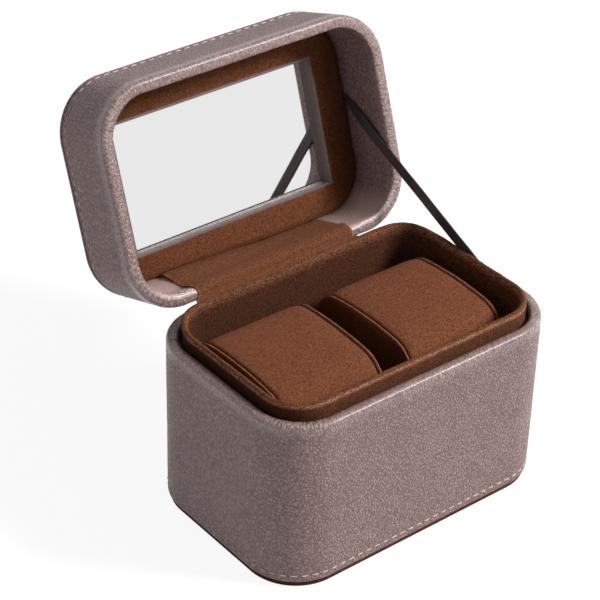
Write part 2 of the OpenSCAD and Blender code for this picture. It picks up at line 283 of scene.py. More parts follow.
def openLid(bm):
    # from the shut pose, in which lid pieces are drawn, to the open one
    bmesh.ops.rotate(bm, verts=bm.verts, cent=(0, hingeY, hingeZ),
                     matrix=Matrix.Rotation(math.radians(-openAngle), 3, "X"))


def turnedPoint(y, z, degrees):
    turn = Matrix.Rotation(math.radians(degrees), 3, "X")
    p = turn @ Vector((0, y - hingeY, z - hingeZ))
    return p.y + hingeY, p.z + hingeZ


def openedPoint(y, z):
    return turnedPoint(y, z, -openAngle)


def shutPoint(y, z):
    return turnedPoint(y, z, openAngle)


def addObject(name, data):
    thing = bpy.data.objects.new(name, data)
    bpy.context.scene.collection.objects.link(thing)
    return thing


def cover(piece, material):
    piece.data.materials.clear()
    piece.data.materials.append(material)


def declare(piece, material, body, slotName, stands, smooth=True):
    # a finished mesh's material and shading, its body and the CAD nodes it stands for
    cover(piece, material)
    for face in piece.data.polygons:
        face.use_smooth = smooth
    if body:
        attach(piece, body)
    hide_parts(*stands)
    return piece


def makeMesh(name, bm):
    mesh = bpy.data.meshes.new(name)
    bm.to_mesh(mesh)
    bm.free()
    return mesh


def finishPiece(name, bm, *declared, smooth=True):
    # millimetres to metres, and the mesh to an object
    bmesh.ops.scale(bm, verts=bm.verts, vec=(mm, mm, mm))
    bmesh.ops.triangulate(bm, faces=[f for f in bm.faces if len(f.verts) > 4])
    return declare(addObject(name, makeMesh(name, bm)), *declared, smooth=smooth)


def newGroup(name, inputs, outputs):
    # a shared effect: a place (None) and numbers go in, numbers come out
    group = bpy.data.node_groups.new(name, "ShaderNodeTree")
    for label, value in inputs.items():
        kind = "NodeSocketVector" if value is None else "NodeSocketFloat"
        socket = group.interface.new_socket(name=label, in_out="INPUT", socket_type=kind)
        if value is not None:
            socket.default_value = value
    for label in outputs:
        group.interface.new_socket(name=label, in_out="OUTPUT", socket_type="NodeSocketFloat")
    return group, group.nodes.new("NodeGroupInput").outputs, group.nodes.new("NodeGroupOutput")


def feed(tree, node, sockets):
    # links or sets a node's inputs, by name or number
    for key, value in sockets.items():
        if isinstance(value, bpy.types.NodeSocket):
            tree.links.new(value, node.inputs[key])
        else:
            node.inputs[key].default_value = value
    return node


def put(tree, kind, sockets, **settings):
    node = tree.nodes.new(kind)
    for key, value in settings.items():
        setattr(node, key, value)
    return feed(tree, node, sockets)


def calc(tree, operation, *values):
    return put(tree, "ShaderNodeMath", dict(enumerate(values)), operation=operation).outputs[0]


def product(tree, first, *others):
    for value in others:
        first = calc(tree, "MULTIPLY", first, value)
    return first


def span(tree, value, low, high, outLow=0.0, outHigh=1.0):
    return put(
        tree, "ShaderNodeMapRange",
        {"Value": value, "From Min": low, "From Max": high, "To Min": outLow, "To Max": outHigh},
        interpolation_type="SMOOTHSTEP",
    ).outputs["Result"]


def blendColour(tree, factor, a, b):
    return put(tree, "ShaderNodeMix", {0: factor, 6: a, 7: b}, data_type="RGBA").outputs[2]


def measure(tree, name):
    return put(tree, "ShaderNodeAttribute", {}, attribute_name=name).outputs["Fac"]


def cloudy(tree, place, scale, detail=2.0, **more):
    return put(tree, "ShaderNodeTexNoise",
               {"Vector": place, "Scale": scale, "Detail": detail, **more}).outputs


def cells(tree, place, scale):
    # 0 at the edges of the cells
    return put(tree, "ShaderNodeTexVoronoi", {"Vector": place, "Scale": scale},
               feature="DISTANCE_TO_EDGE").outputs["Distance"]


def vectorCalc(tree, operation, sockets):
    return put(tree, "ShaderNodeVectorMath", sockets, operation=operation).outputs[0]


def raised(tree, height, distance, strength=1.0):
    return put(tree, "ShaderNodeBump",
               {"Strength": strength, "Distance": distance, "Height": height}).outputs[0]


hidePattern = {
    "driftRate": 0.55, "fineRate": 1.9, "domeEdge": 0.4, "domes": 0.55, "fineDomes": 0.2,
    "dustRate": 1.4, "dust": 0.35, "patchRate": 0.05, "creased": (0.6, 0.15),
}
pleatPattern = {"stretch": 0.3, "contrast": (0.32, 0.68)}
napPattern = {
    "fibres": 0.8, "clumps": 0.2, "clumpRate": 0.3, "brushRate": 0.07, "contrast": (0.27, 0.73),
}


def buildLeatherGrain():
    # pebbles of hide with creases between them, finer cells on top, and slow drifts of tone
    group, given, result = newGroup(
        "leatherGrain", {"Vector": None, "Cell": 1.5, "Warp": 1.0}, ["Height", "Crease", "Tone"])
    look, place = hidePattern, given["Vector"]
    drift = cloudy(group, place, look["driftRate"])["Color"]
    centred = vectorCalc(group, "SUBTRACT", {0: drift, 1: (0.5, 0.5, 0.5)})
    pushed = vectorCalc(group, "SCALE", {0: centred, "Scale": given["Warp"]})
    warped = vectorCalc(group, "ADD", {0: place, 1: pushed})
    rate = calc(group, "DIVIDE", 1.0, given["Cell"])
    domes = span(group, cells(group, warped, rate), 0.0, look["domeEdge"])
    fineRate = product(group, rate, look["fineRate"])
    fineDomes = span(group, cells(group, warped, fineRate), 0.0, look["domeEdge"])
    dust = cloudy(group, place, look["dustRate"], 3.0, Roughness=0.6)["Fac"]
    height = calc(group, "ADD", product(group, domes, look["domes"]),
                  product(group, fineDomes, look["fineDomes"]))
    height = calc(group, "ADD", height, product(group, dust, look["dust"]))
    group.links.new(height, result.inputs["Height"])
    group.links.new(span(group, height, *look["creased"]), result.inputs["Crease"])
    group.links.new(cloudy(group, place, look["patchRate"], 3.0)["Fac"], result.inputs["Tone"])
    return group


def buildHemPleats():
    # ribs across a rolled edge, read from the sweep's own measures round and across it
    group, given, result = newGroup("hemPleats", {"Spacing": 1.5}, ["Height", "Mask"])
    place = put(group, "ShaderNodeCombineXYZ", {
        0: calc(group, "DIVIDE", measure(group, "along"), given["Spacing"]),
        1: product(group, measure(group, "across"), pleatPattern["stretch"])}).outputs[0]
    ribs = cloudy(group, place, 1.0)["Fac"]
    group.links.new(span(group, ribs, *pleatPattern["contrast"]), result.inputs["Height"])
    group.links.new(measure(group, "hem"), result.inputs["Mask"])
    return group


def buildSuedeNap():
    # short fibres that catch light in flecks, brushed patches, and a slow tone
    group, given, result = newGroup(
        "suedeNap", {"Vector": None, "Fibre": 0.5}, ["Height", "Fleck", "Brushed"])
    look, place = napPattern, given["Vector"]
    rate = calc(group, "DIVIDE", 1.0, given["Fibre"])
    fibres = cloudy(group, place, rate, 1.5, Distortion=0.4)["Fac"]
    clumps = cloudy(group, place, product(group, rate, look["clumpRate"]))["Fac"]
    both = calc(group, "ADD", product(group, fibres, look["fibres"]),
                product(group, clumps, look["clumps"]))
    group.links.new(both, result.inputs["Height"])
    group.links.new(span(group, both, *look["contrast"]), result.inputs["Fleck"])
    group.links.new(cloudy(group, place, look["brushRate"])["Fac"], result.inputs["Brushed"])
    return group


leatherGrain = buildLeatherGrain()
hemPleats = buildHemPleats()
suedeNap = buildSuedeNap()


def startMaterial(name):
    material = bpy.data.materials.new(name)
    material.use_nodes = True
    tree = material.node_tree
    coords = tree.nodes.new("ShaderNodeTexCoord")
    return material, tree, tree.nodes["Principled BSDF"], coords.outputs["Object"]


def inMillimetres(tree, place, look):
    # object coordinates in millimetres, turned, then squeezed so that the pattern runs one way
    turned = put(tree, "ShaderNodeMapping", {"Vector": place, "Rotation": look["turn"]})
    squeeze = tuple(1000.0 / way for way in look["stretch"])
    return vectorCalc(tree, "MULTIPLY", {0: turned.outputs[0], 1: squeeze})


def leatherMaterial(name, look):
    material, tree, shader, place = startMaterial(name)
    grain = put(tree, "ShaderNodeGroup", {
        "Vector": inMillimetres(tree, place, look), "Cell": look["cell"], "Warp": look["warp"],
    }, node_tree=leatherGrain).outputs
    tone = span(tree, grain["Tone"], 0.3, 0.7)
    colour = blendColour(tree, tone, look["dark"], look["light"])
    creased = product(tree, grain["Crease"], look["creaseDepth"])
    colour = blendColour(tree, creased, colour, look["crease"])
    # painted reflected light: the lining is paler where the mirror would throw light onto it
    colour = blendColour(tree, measure(tree, "paintedMirrorLight"), colour, look["wornAndLitColour"])
    roughest = look["rough"] + look["creaseRough"]
    rough = span(tree, grain["Crease"], 0.0, 1.0, look["rough"], roughest)
    height = product(tree, grain["Height"], look["relief"])
    if look["pleats"]:
        pleats = put(tree, "ShaderNodeGroup", {"Spacing": look["pleats"]},
                     node_tree=hemPleats).outputs
        ribs, mask = pleats["Height"], pleats["Mask"]
        smoothed = calc(tree, "SUBTRACT", 1.0, product(tree, mask, look["hemSmooth"]))
        raisedRibs = product(tree, ribs, product(tree, mask, look["pleatRelief"]))
        height = calc(tree, "ADD", product(tree, height, smoothed), raisedRibs)
        # raised pleats made lighter: wear and painted highlight
        wornAndLit = product(tree, ribs, mask, look["wornAndLit"])
        colour = blendColour(tree, wornAndLit, colour, look["wornAndLitColour"])
        rough = calc(tree, "SUBTRACT", rough, product(tree, mask, look["hemGloss"]))
        feed(tree, shader, {"Coat Weight": product(tree, mask, look["hemCoat"]),
                            "Coat Roughness": look["coatRough"]})
    feed(tree, shader, {
        "Base Color": colour, "Roughness": rough, "Specular IOR Level": look["specular"],
        "Normal": raised(tree, height, look["bump"] * mm)})
    return material


def suedeMaterial(name, look):
    material, tree, shader, place = startMaterial(name)
    nap = put(tree, "ShaderNodeGroup", {
        "Vector": inMillimetres(tree, place, look), "Fibre": look["fibre"],
    }, node_tree=suedeNap).outputs
    colour = blendColour(tree, nap["Fleck"], look["dark"], look["light"])
    drift = product(tree, span(tree, nap["Brushed"], 0.35, 0.65), look["drift"])
    colour = blendColour(tree, drift, colour, look["brushed"])
    colour = blendColour(tree, measure(tree, "shade"), colour, look["dark"])
    # lighter flecks where the measure hem is set: worn suede edges and painted highlight
    flecked = product(tree, measure(tree, "hem"), span(tree, nap["Height"], 0.4, 0.58))
    colour = blendColour(tree, product(tree, flecked, look["edgeAmount"]), colour, look["edge"])
    feed(tree, shader, {
        "Base Color": colour, "Roughness": look["rough"], "Specular IOR Level": look["specular"],
        "Sheen Weight": look["sheen"], "Sheen Roughness": 0.5, "Sheen Tint": look["sheenTint"],
        "Normal": raised(tree, nap["Height"], look["bump"] * mm)})
    return material


leatherLook = {
    "dark": (0.340, 0.217, 0.204, 1), "light": (0.392, 0.255, 0.240, 1),
    "crease": (0.125, 0.077, 0.075, 1), "creaseDepth": 0.9, "creaseRough": 0.15,
    "cell": 1.25, "warp": 1.6, "turn": (-0.892, 0.0, 0.0), "stretch": (1.0, 1.9, 1.0),
    "relief": 1.0, "bump": 0.44, "rough": 0.40, "specular": 0.5,
    "pleats": 1.3, "pleatRelief": 0.9, "hemSmooth": 0.85, "hemGloss": 0.12, "hemCoat": 0.7,
    # this colour paints wear, highlight on the pleats and the mirror's reflected light on the lining
    "coatRough": 0.3, "wornAndLit": 0.25, "wornAndLitColour": (0.60, 0.42, 0.39, 1),
}
outerLeather = leatherMaterial("outerLeather", leatherLook)
plainLeather = leatherMaterial("plainLeather", {**leatherLook, "pleats": 0})
# a darker, greyer copy of the leather for the mirror's edge: painted shade
shadedRevealLeather = leatherMaterial("shadedRevealLeather", {
    **leatherLook, "dark": (0.19, 0.145, 0.142, 1), "light": (0.235, 0.185, 0.182, 1),
    "pleats": 0, "creaseDepth": 0.2, "bump": 0.04, "rough": 0.6, "specular": 0.2})

suedeLook = {
    "dark": (0.020, 0.007, 0.004, 1), "light": (0.300, 0.110, 0.054, 1),
    "brushed": (0.17, 0.060, 0.029, 1), "drift": 0.15, "fibre": 0.5,
    "turn": (0.0, 0.0, 0.0), "stretch": (1.0, 1.0, 1.0), "bump": 0.5, "rough": 0.95,
    "specular": 0.08, "sheen": 0.04, "sheenTint": (0.9, 0.45, 0.3, 1),
    "edge": (0.60, 0.29, 0.18, 1), "edgeAmount": 0.9,
}
collarSuede = suedeMaterial("collarSuede", suedeLook)
padSuede = suedeMaterial("padSuede", {
    **suedeLook, "dark": (0.045, 0.014, 0.006, 1), "light": (0.285, 0.102, 0.046, 1),
    "fibre": 0.44, "edgeAmount": 0.4})
hingeSuede = suedeMaterial("hingeSuede", {
    **suedeLook, "dark": (0.075, 0.025, 0.011, 1), "light": (0.300, 0.113, 0.055, 1),
    "fibre": 0.42, "turn": (0.0, 0.0, 0.6), "stretch": (1.0, 2.0, 1.0)})
cushionSuede = suedeMaterial("cushionSuede", {
    **suedeLook, "dark": (0.068, 0.021, 0.009, 1), "light": (0.350, 0.124, 0.061, 1),
    "fibre": 0.42, "bump": 0.45, "edgeAmount": 0.35})
footSuede = suedeMaterial("footSuede", {
    **suedeLook, "dark": (0.05, 0.018, 0.010, 1), "light": (0.12, 0.042, 0.024, 1)})

ribbonWeaveLook = {"ribPitch": 0.7, "threadPitch": 0.45, "ribs": 0.35, "threads": 0.15}


def fleckedMaterial(name, scale, detail, dark, light):
    # a colour that wanders between two tones
    material, tree, shader, place = startMaterial(name)
    fleck = cloudy(tree, place, scale, detail)["Fac"]
    feed(tree, shader, {"Base Color": blendColour(tree, fleck, dark, light)})
    return material, tree, shader, fleck


def threadMaterial():
    material, tree, shader, twist = fleckedMaterial(
        "stitchThread", 2500.0, 2.0, (0.60, 0.47, 0.45, 1), (0.86, 0.74, 0.72, 1))
    feed(tree, shader, {"Roughness": 0.6, "Normal": raised(tree, twist, 0.0001, 0.5)})
    return material


def ribbonMaterial():
    material, tree, shader, _ = fleckedMaterial(
        "ribbonWeave", 900.0, 2.0, (0.012, 0.006, 0.006, 1), (0.040, 0.022, 0.021, 1))
    look = ribbonWeaveLook
    ribs, threads = (
        calc(tree, "SINE", product(tree, measure(tree, way), 2 * math.pi / look[pitch]))
        for way, pitch in (("along", "ribPitch"), ("across", "threadPitch")))
    weave = calc(tree, "ADD", product(tree, ribs, look["ribs"]),
                 product(tree, threads, look["threads"]))
    feed(tree, shader, {"Roughness": 0.55, "Sheen Weight": 0.1,
                        "Normal": raised(tree, weave, 0.0001, 0.5)})
    return material


def mirrorMaterial():
    material, tree, shader, haze = fleckedMaterial(
        "mirrorGlass", 22.0, 2.0, (0.79, 0.79, 0.79, 1), (0.83, 0.83, 0.83, 1))
    feed(tree, shader, {"Metallic": 1.0, "Roughness": span(tree, haze, 0.3, 0.8, 0.015, 0.03)})
    return material


def boardMaterial():
    material, tree, shader, pulp = fleckedMaterial(
        "greyBoard", 700.0, 4.0, (0.24, 0.22, 0.19, 1), (0.42, 0.39, 0.34, 1))
    feed(tree, shader, {"Roughness": 0.9, "Normal": raised(tree, pulp, 0.0002, 0.4)})
    return material


stitchThread = threadMaterial()
ribbonWeave = ribbonMaterial()
mirrorSilver = mirrorMaterial()
greyBoard = boardMaterial()
print("materials built")

hem = {
    "width": 5.4, "height": 5.0, "outerR": 1.9, "innerR": 2.4, "tailR": 1.0,
    "waves": 0.10, "waveLength": 16.0, "fineShare": 0.3, "fineLength": 5.0,
    "pleats": 0.04, "cornerPleats": 0.13, "pleatReach": (7.5, 1.0), "pleatSize": (2.3, 9.0),
    "gathered": (0.7, 1.0), "crest": 0.6, "crestWidth": 0.9,
    "stitchDip": 0.28, "stitchDipWidth": 0.8, "seamPull": 0.55, "holePull": 0.45,
}
stitchLine = {
    "pitch": 4.65, "length": 3.15, "thick": 0.52, "sunkEnds": 0.22, "blunt": 0.75, "baseUp": 3.5,
    "lidDrop": 6.3, "proud": 0.10, "wander": 0.10, "uneven": 0.1, "tilt": 0.06,
    "rows": (1.6, 3.4),  # fine rows of the leather this far off the seam, plain ones beyond
}
baseWrap = {"turnIn": 10.0, "lowR": 0.9, "skinEnds": 140.0, "hemReach": (7.0, 1.5)}
underStrip = {"x": (48.0, 44.0), "y": (30.0, 36.0)}
stitchesRound = round(ringLength / stitchLine["pitch"])
stitchStep = ringLength / stitchesRound


def cornerness(s):
    # 1 in the middle of a corner, 0 on the straights
    out = ringPlace(s)[1]
    return smoothStep(0.0, 0.5, min(abs(out.x), abs(out.y)))


def hemShare(v):
    # how gathered the rolled edge is: little on the straights, fully at the corners
    return lerp(*hem["gathered"], cornerness(ringAlong(v.co.x, v.co.y)))


def hideWaves(v, seed):
    # slow swell of leather on board
    long, short = hem["waveLength"], hem["fineLength"]
    slow = grainNoise(v.co.x / long, v.co.y / long + seed, v.co.z / long)
    fine = grainNoise(v.co.x / short, v.co.y / short, v.co.z / short + seed)
    return hem["waves"] * slow + hem["fineShare"] * hem["waves"] * fine


def stitchPucker(s, offLine):
    # leather pulled down along the seam, most at the needle holes
    holes = 0.5 - 0.5 * math.cos(2 * math.pi * s / stitchStep)
    pull = hem["seamPull"] + hem["holePull"] * (1 - holes)
    return -hem["stitchDip"] * bump(offLine, hem["stitchDipWidth"]) * pull


def rimPleats(s, depthBelowRim, across, seed):
    # gathers over the rolled edge, deeper where it turns a corner
    long, wide = hem["pleatSize"]
    amount = lerp(hem["pleats"], hem["cornerPleats"] + hem["pleats"], cornerness(s))
    return smoothStep(*hem["pleatReach"], depthBelowRim) * amount * grainNoise(
        s / long, across / wide, seed)


def bareOfStrip(v):
    # 0 where the suede strip lies on the hems, so that they stay flat below it
    return 1 - smoothStep(*underStrip["x"], abs(v.co.x)) * smoothStep(*underStrip["y"], v.co.y)


def liningSwell(x, depth):
    # the lining's extra padding on the hinge's side, most at the left and near the pad
    return lerp(lidInside["swell"], 0.0, smoothStep(*lidInside["swellX"], x)) * smoothStep(
        *lidInside["swellDepth"], depth)


def buildBaseWrap():
    t, low = caseSizes["leather"], caseSizes["footT"]
    inner, seam = t + caseSizes["board"], low + stitchLine["baseUp"]
    turnIn, lowR = baseWrap["turnIn"], baseWrap["lowR"]
    outerR, innerR, tailR = hem["outerR"], hem["innerR"], hem["tailR"]
    near, far = stitchLine["rows"]
    outside = densify([(turnIn, low), (lowR, low)], 2.5)[:-1]
    outside += arc(lowR, low + lowR, lowR, -90, -180, 5)
    outside += densify([(0.0, seam - near), (0.0, seam + near)], 0.4)
    outside += densify([(0.0, seam + far), (0.0, rimZ - outerR)], 2.2)
    roll = arc(outerR, rimZ - outerR, outerR, 180, 90, 6)
    roll += arc(hem["width"] - innerR, rimZ - innerR, innerR, 90, 0, 8)
    tail = arc(hem["width"] - tailR, rimZ - hem["height"] + tailR, tailR, 0, -90, 4)
    back = [(inner, rimZ - hem["height"]), (inner, rimZ - t), (t, rimZ - t), (t, low + t),
            (turnIn, low + t)]
    section = outside + roll[1:] + tail + densify(back, 7.0)
    bm = sweepRing(section, 2 * halfW, 2 * halfD, cornerR)
    hemLayer = bm.verts.layers.float["hem"]
    for v in bm.verts:
        v[hemLayer] = hemShare(v) * smoothStep(*baseWrap["hemReach"], rimZ - v.co.z)

    def move(v, s, across):
        if v.normal.z <= -0.5 or across >= baseWrap["skinEnds"]:
            return 0.0
        leather = hideWaves(v, 3.1) + rimPleats(s, rimZ - v.co.z, across, 5.7)
        return stitchPucker(s, v.co.z - low - stitchLine["baseUp"]) + bareOfStrip(v) * leather

    relief(bm, move)
    finishPiece("baseWrap", bm, outerLeather, "base", "leather", ["base_leather_wrap"])


def stitchBlank():
    # one stitch along x: a short cord, thinner and sunk at its ends
    bm = bmesh.new()
    bmesh.ops.create_uvsphere(bm, u_segments=8, v_segments=7, radius=0.5)
    bmesh.ops.rotate(bm, verts=bm.verts, cent=(0, 0, 0), matrix=Matrix.Rotation(quarter, 3, "Y"))
    for v in bm.verts:
        reach = 2 * v.co.x
        v.co = Vector((
            math.copysign(abs(reach) ** stitchLine["blunt"], reach) * stitchLine["length"] / 2,
            v.co.y * stitchLine["thick"] - stitchLine["sunkEnds"] * abs(reach) ** 3,
            v.co.z * stitchLine["thick"],
        ))
    return makeMesh("stitchBlank", bm)


def buildStitches(name, height, body, stands):
    blank = stitchBlank()
    count = len(blank.vertices)
    lie = stitchLine["proud"] - hem["stitchDip"] * hem["seamPull"]
    bm = bmesh.new()
    for k in range(stitchesRound):
        p, out = ringPlace((k + 0.5) * stitchStep)
        bm.from_mesh(blank)
        bm.verts.ensure_lookup_table()
        made = bm.verts[-count:]
        wander = stitchLine["wander"] * grainNoise(k * 1.7, 0.3, 8.0)
        longer = 1 + stitchLine["uneven"] * grainNoise(k * 2.3, 4.1, 1.0)
        bmesh.ops.scale(bm, verts=made, vec=(longer, 1, 1))
        turn = Matrix.Rotation(math.atan2(out.y, out.x) - math.pi / 2, 3, "Z")
        tilt = Matrix.Rotation(stitchLine["tilt"] * grainNoise(k * 3.1, 2.2, 0.0), 3, "Y")
        bmesh.ops.rotate(bm, verts=made, cent=(0, 0, 0), matrix=turn @ tilt)
        bmesh.ops.translate(bm, verts=made, vec=p + out * lie + Vector((0, 0, height + wander)))
    bpy.data.meshes.remove(blank)
    if body == "lid":
        openLid(bm)
    finishPiece(name, bm, stitchThread, body, "thread", stands)


buildBaseWrap()
buildStitches("baseStitches", caseSizes["footT"] + stitchLine["baseUp"], "base", ["base_stitching"])
print("base leather and stitches built")

footPad = {"inset": 1.1, "round": 0.5, "turn": 7.0}


def buildFootPad():
    inset, high = footPad["inset"], caseSizes["footT"]
    bm = boxBlank((2 * (halfW - inset), 2 * (halfD - inset), high), (0, 0, high / 2))
    roundEdges(bm, longEdges(bm, 2), cornerR - inset, 28)
    roundEdges(bm, edgesOf(f for f in bm.faces if abs(f.normal.z) > 0.9), footPad["round"], 4)
    ringCaps(bm, [f for f in bm.faces if len(f.verts) > 40], 2, footPad["turn"])
    addMeasures(bm, "along", "across", "hem")
    finishPiece("footPad", bm, footSuede, "base", "suede", ["foot_pad"])


buildFootPad()

collar = {
    "sideInset": 6.3, "endInset": 7.0, "rise": 5.8, "thick": 2.4, "outsideH": 14.0, "suede": 0.6,
    "footZ": 38.7, "skinEnds": 70.0, "wave": 0.14, "fuzz": 0.09, "lump": 0.1,
    "edgeIn": 0.2, "edgeWidth": 0.42, "backEdge": 0.3, "nearBack": (39.0, 28.0),
    # painted shade on the collar: amounts outside and inside the well
    "shadeOutsideLeft": 0.97, "shadeOutsideRight": 0.2, "shadeInsideSides": 0.3, "shadeInsideBack": 0.55,
    "backRise": (1.0, 1.7), "backLean": 0.9, "raisedX": (-50.0, 45.0), "raisedY": (26.0, 40.0),
    "waveSize": (14.0, 10.0), "fuzzSize": (0.9, 0.7), "lumpSize": 4.0, "edgeReach": 5.0,
    "facingBack": (0.3, 0.9), "outerFade": (0.6, -0.8), "innerFade": (-0.3, 1.0),
}
collarTop = rimZ + collar["rise"]


def buildCollar():
    w, d = 2 * (halfW - collar["sideInset"]), 2 * (halfD - collar["endInset"])
    half, t, foot = collar["thick"] / 2, collar["suede"], collar["footZ"]
    bottom, turn = collarTop - collar["outsideH"], collarTop - half
    section = densify([(0, bottom), (0, turn)], 1.5)[:-1] + arc(half, turn, half, 180, 0, 14)
    section += densify([(2 * half, turn), (2 * half, foot)], 3.0)[1:]
    section += [(2 * half - t, foot), (2 * half - t, turn), (t, turn), (t, bottom)]
    bm = sweepRing(section, w, d, cornerR - collar["sideInset"], step=0.9)
    hemLayer, shadeLayer = bm.verts.layers.float["hem"], addMeasures(bm, "shade")[0]
    acrossLayer = bm.verts.layers.float["across"]
    outerTurn = collar["outsideH"] - half
    innerTurn = outerTurn + math.pi * half
    edgeIn, edgeWidth = collar["edgeIn"], collar["edgeWidth"]
    for v in bm.verts:
        a = v[acrossLayer]
        # lighter lines along both sides of the fold: worn suede and painted highlight, weaker at the back
        edges = bump(a - outerTurn - edgeIn, edgeWidth) + bump(a - innerTurn + edgeIn, edgeWidth)
        v[hemLayer] = min(1.0, edges) * lerp(
            collar["backEdge"], 1.0, smoothStep(*collar["nearBack"], v.co.y))
        # painted shade: outside darkest on the left and back and lightest at the front right, where the key
        # light falls; inside darker, most on the back wall
        way = ringPlace(ringAlong(v.co.x, v.co.y))[1]
        toRight = 0.5 + 0.5 * (way.x - way.y) / math.sqrt(2)
        outer = lerp(collar["shadeOutsideLeft"], collar["shadeOutsideRight"], toRight)
        facingBack = smoothStep(*collar["facingBack"], way.y)
        inner = lerp(collar["shadeInsideSides"], collar["shadeInsideBack"], facingBack)
        outer *= smoothStep(*(outerTurn + fade for fade in collar["outerFade"]), a)
        inner *= smoothStep(*(innerTurn + fade for fade in collar["innerFade"]), a)
        v[shadeLayer] = outer + inner

    def move(v, s, across):
        if across > collar["skinEnds"]:
            return 0.0
        edge = smoothStep(collar["edgeReach"], 0.0, collarTop - v.co.z)
        (waveS, waveA), (fuzzS, fuzzA) = collar["waveSize"], collar["fuzzSize"]
        lump = grainNoise(s / collar["lumpSize"], across / collar["lumpSize"], 9.0)
        return (collar["wave"] * grainNoise(s / waveS, across / waveA, 2.0)
                + edge * collar["fuzz"] * grainNoise(s / fuzzS, across / fuzzA, 6.0)
                + collar["lump"] * edge * lump)

    relief(bm, move)
    for v in bm.verts:
        # its back stands a little higher and leans back, as the strip behind it pushes it up
        share = smoothStep(*collar["raisedY"], v.co.y) * smoothStep(rimZ, collarTop, v.co.z)
        v.co.z += share * lerp(*collar["backRise"], smoothStep(*collar["raisedX"], v.co.x))
        v.co.y += share * collar["backLean"]
    finishPiece("collarSleeve", bm, collarSuede, "base", "suede", ["collar_suede", "collar_board"])


buildCollar()
print("foot pad and collar built")

lidInside = {
    "ceiling": 33.3, "liningInset": 4.2, "edgeR": 2.5, "padDepth": 28.0, "crown": 0.4,
    # the next line also holds the amount and reach of the lining's painted reflected light from the mirror
    "softEdge": 2.4, "rings": 9, "paintedMirrorLight": 0.95, "mirrorLightY": (34.0, 44.0), "hemReach": (8.0, 2.0),
    "swell": 2.1, "swellX": (-50.0, 30.0), "swellDepth": (9.0, 26.0),
    "folds": (0.45, 0.22), "foldsFrom": (3.0, 12.0), "foldsTo": (33.0, 24.0),
    "bend": [(0.0, 3.4), (0.15, 5.0), (0.55, 7.0), (0.95, 9.0)],  # behind the hem, at a depth
    "bendEnds": 11.5, "slowFold": (26.0, 14.0), "quickFold": (9.0, 11.0),
    "innerStart": 3.0, "crestAt": 4.6, "skinEnds": 6.0,  # across the leather, past its outer side
}
lidTop = {
    "padding": 0.25, "paddingFrom": (2.0, 16.0), "waves": 0.08, "waveLength": 14.0,
    "lowR": 0.3, "rings": 6, "ringWidth": 3.4,
}


def buildLidWrap():
    t, low = caseSizes["leather"], lidInside["ceiling"]
    inner, seam = t + caseSizes["board"], caseSizes["lidH"] - stitchLine["lidDrop"]
    outerR, innerR, lining = hem["outerR"], hem["innerR"], lidInside["liningInset"]
    near, far = stitchLine["rows"]
    outside = [(0.5, low)] + densify([(0.0, seam + near), (0.0, seam - near)], 0.4)
    outside += densify([(0.0, seam - far), (0.0, outerR)], 2.0)
    roll = arc(outerR, outerR, outerR, 180, 270, 6)
    roll += arc(hem["width"] - innerR, innerR, innerR, 270, 360, 8)
    bend = [(hem["width"] - inset, depth) for inset, depth in lidInside["bend"]]
    bend += [(lining, lidInside["bendEnds"]), (lining, low)]
    back = [(inner, low), (inner, t), (t, t), (t, low)]
    section = outside[:-1] + roll + densify(bend, 1.6) + densify(back, 7.0)
    section = [(inset, lidRimZ + depth) for inset, depth in section]
    bm = sweepRing(section, 2 * halfW, 2 * halfD, cornerR)
    hemLayer, mirrorLightLayer = bm.verts.layers.float["hem"], addMeasures(bm, "paintedMirrorLight")[0]
    acrossLayer = bm.verts.layers.float["across"]
    innerStart, crestAt = low + lidInside["innerStart"], low + lidInside["crestAt"]
    for v in bm.verts:
        v[hemLayer] = hemShare(v) * smoothStep(*lidInside["hemReach"], v.co.z - lidRimZ)
        # painted reflected light from the mirror: the lining's inner side is made paler towards the hinge
        if v[acrossLayer] > innerStart:
            v[mirrorLightLayer] = lidInside["paintedMirrorLight"] * smoothStep(*lidInside["mirrorLightY"], v.co.y)

    def move(v, s, across):
        if across > 2 * low + lidInside["skinEnds"]:
            return 0.0
        depth, bare = v.co.z - lidRimZ, bareOfStrip(v)
        crest = hem["crest"] * bump(across - crestAt, hem["crestWidth"])
        leather = bare * (hideWaves(v, 7.9) + rimPleats(s, depth, across, 2.2) + crest)
        if across <= innerStart:
            return leather + stitchPucker(s, lidTopZ - stitchLine["lidDrop"] - v.co.z)
        slow, quick = lidInside["folds"]
        (slowS, slowD), (quickS, quickD) = lidInside["slowFold"], lidInside["quickFold"]
        folds = (slow * grainNoise(s / slowS, depth / slowD, 4.4)
                 + quick * grainNoise(s / quickS, depth / quickD, 1.4))
        fade = smoothStep(*lidInside["foldsFrom"], depth) * smoothStep(*lidInside["foldsTo"], depth)
        padding = liningSwell(v.co.x, depth) * max(0.0, -v.normal.y) ** 2
        return leather + (bare * (fade * folds) + padding)

    relief(bm, move)
    openLid(bm)
    finishPiece("lidWrap", bm, outerLeather, "lid", "leather",
                ["lid_leather_wrap", "lid_inner_lining"])


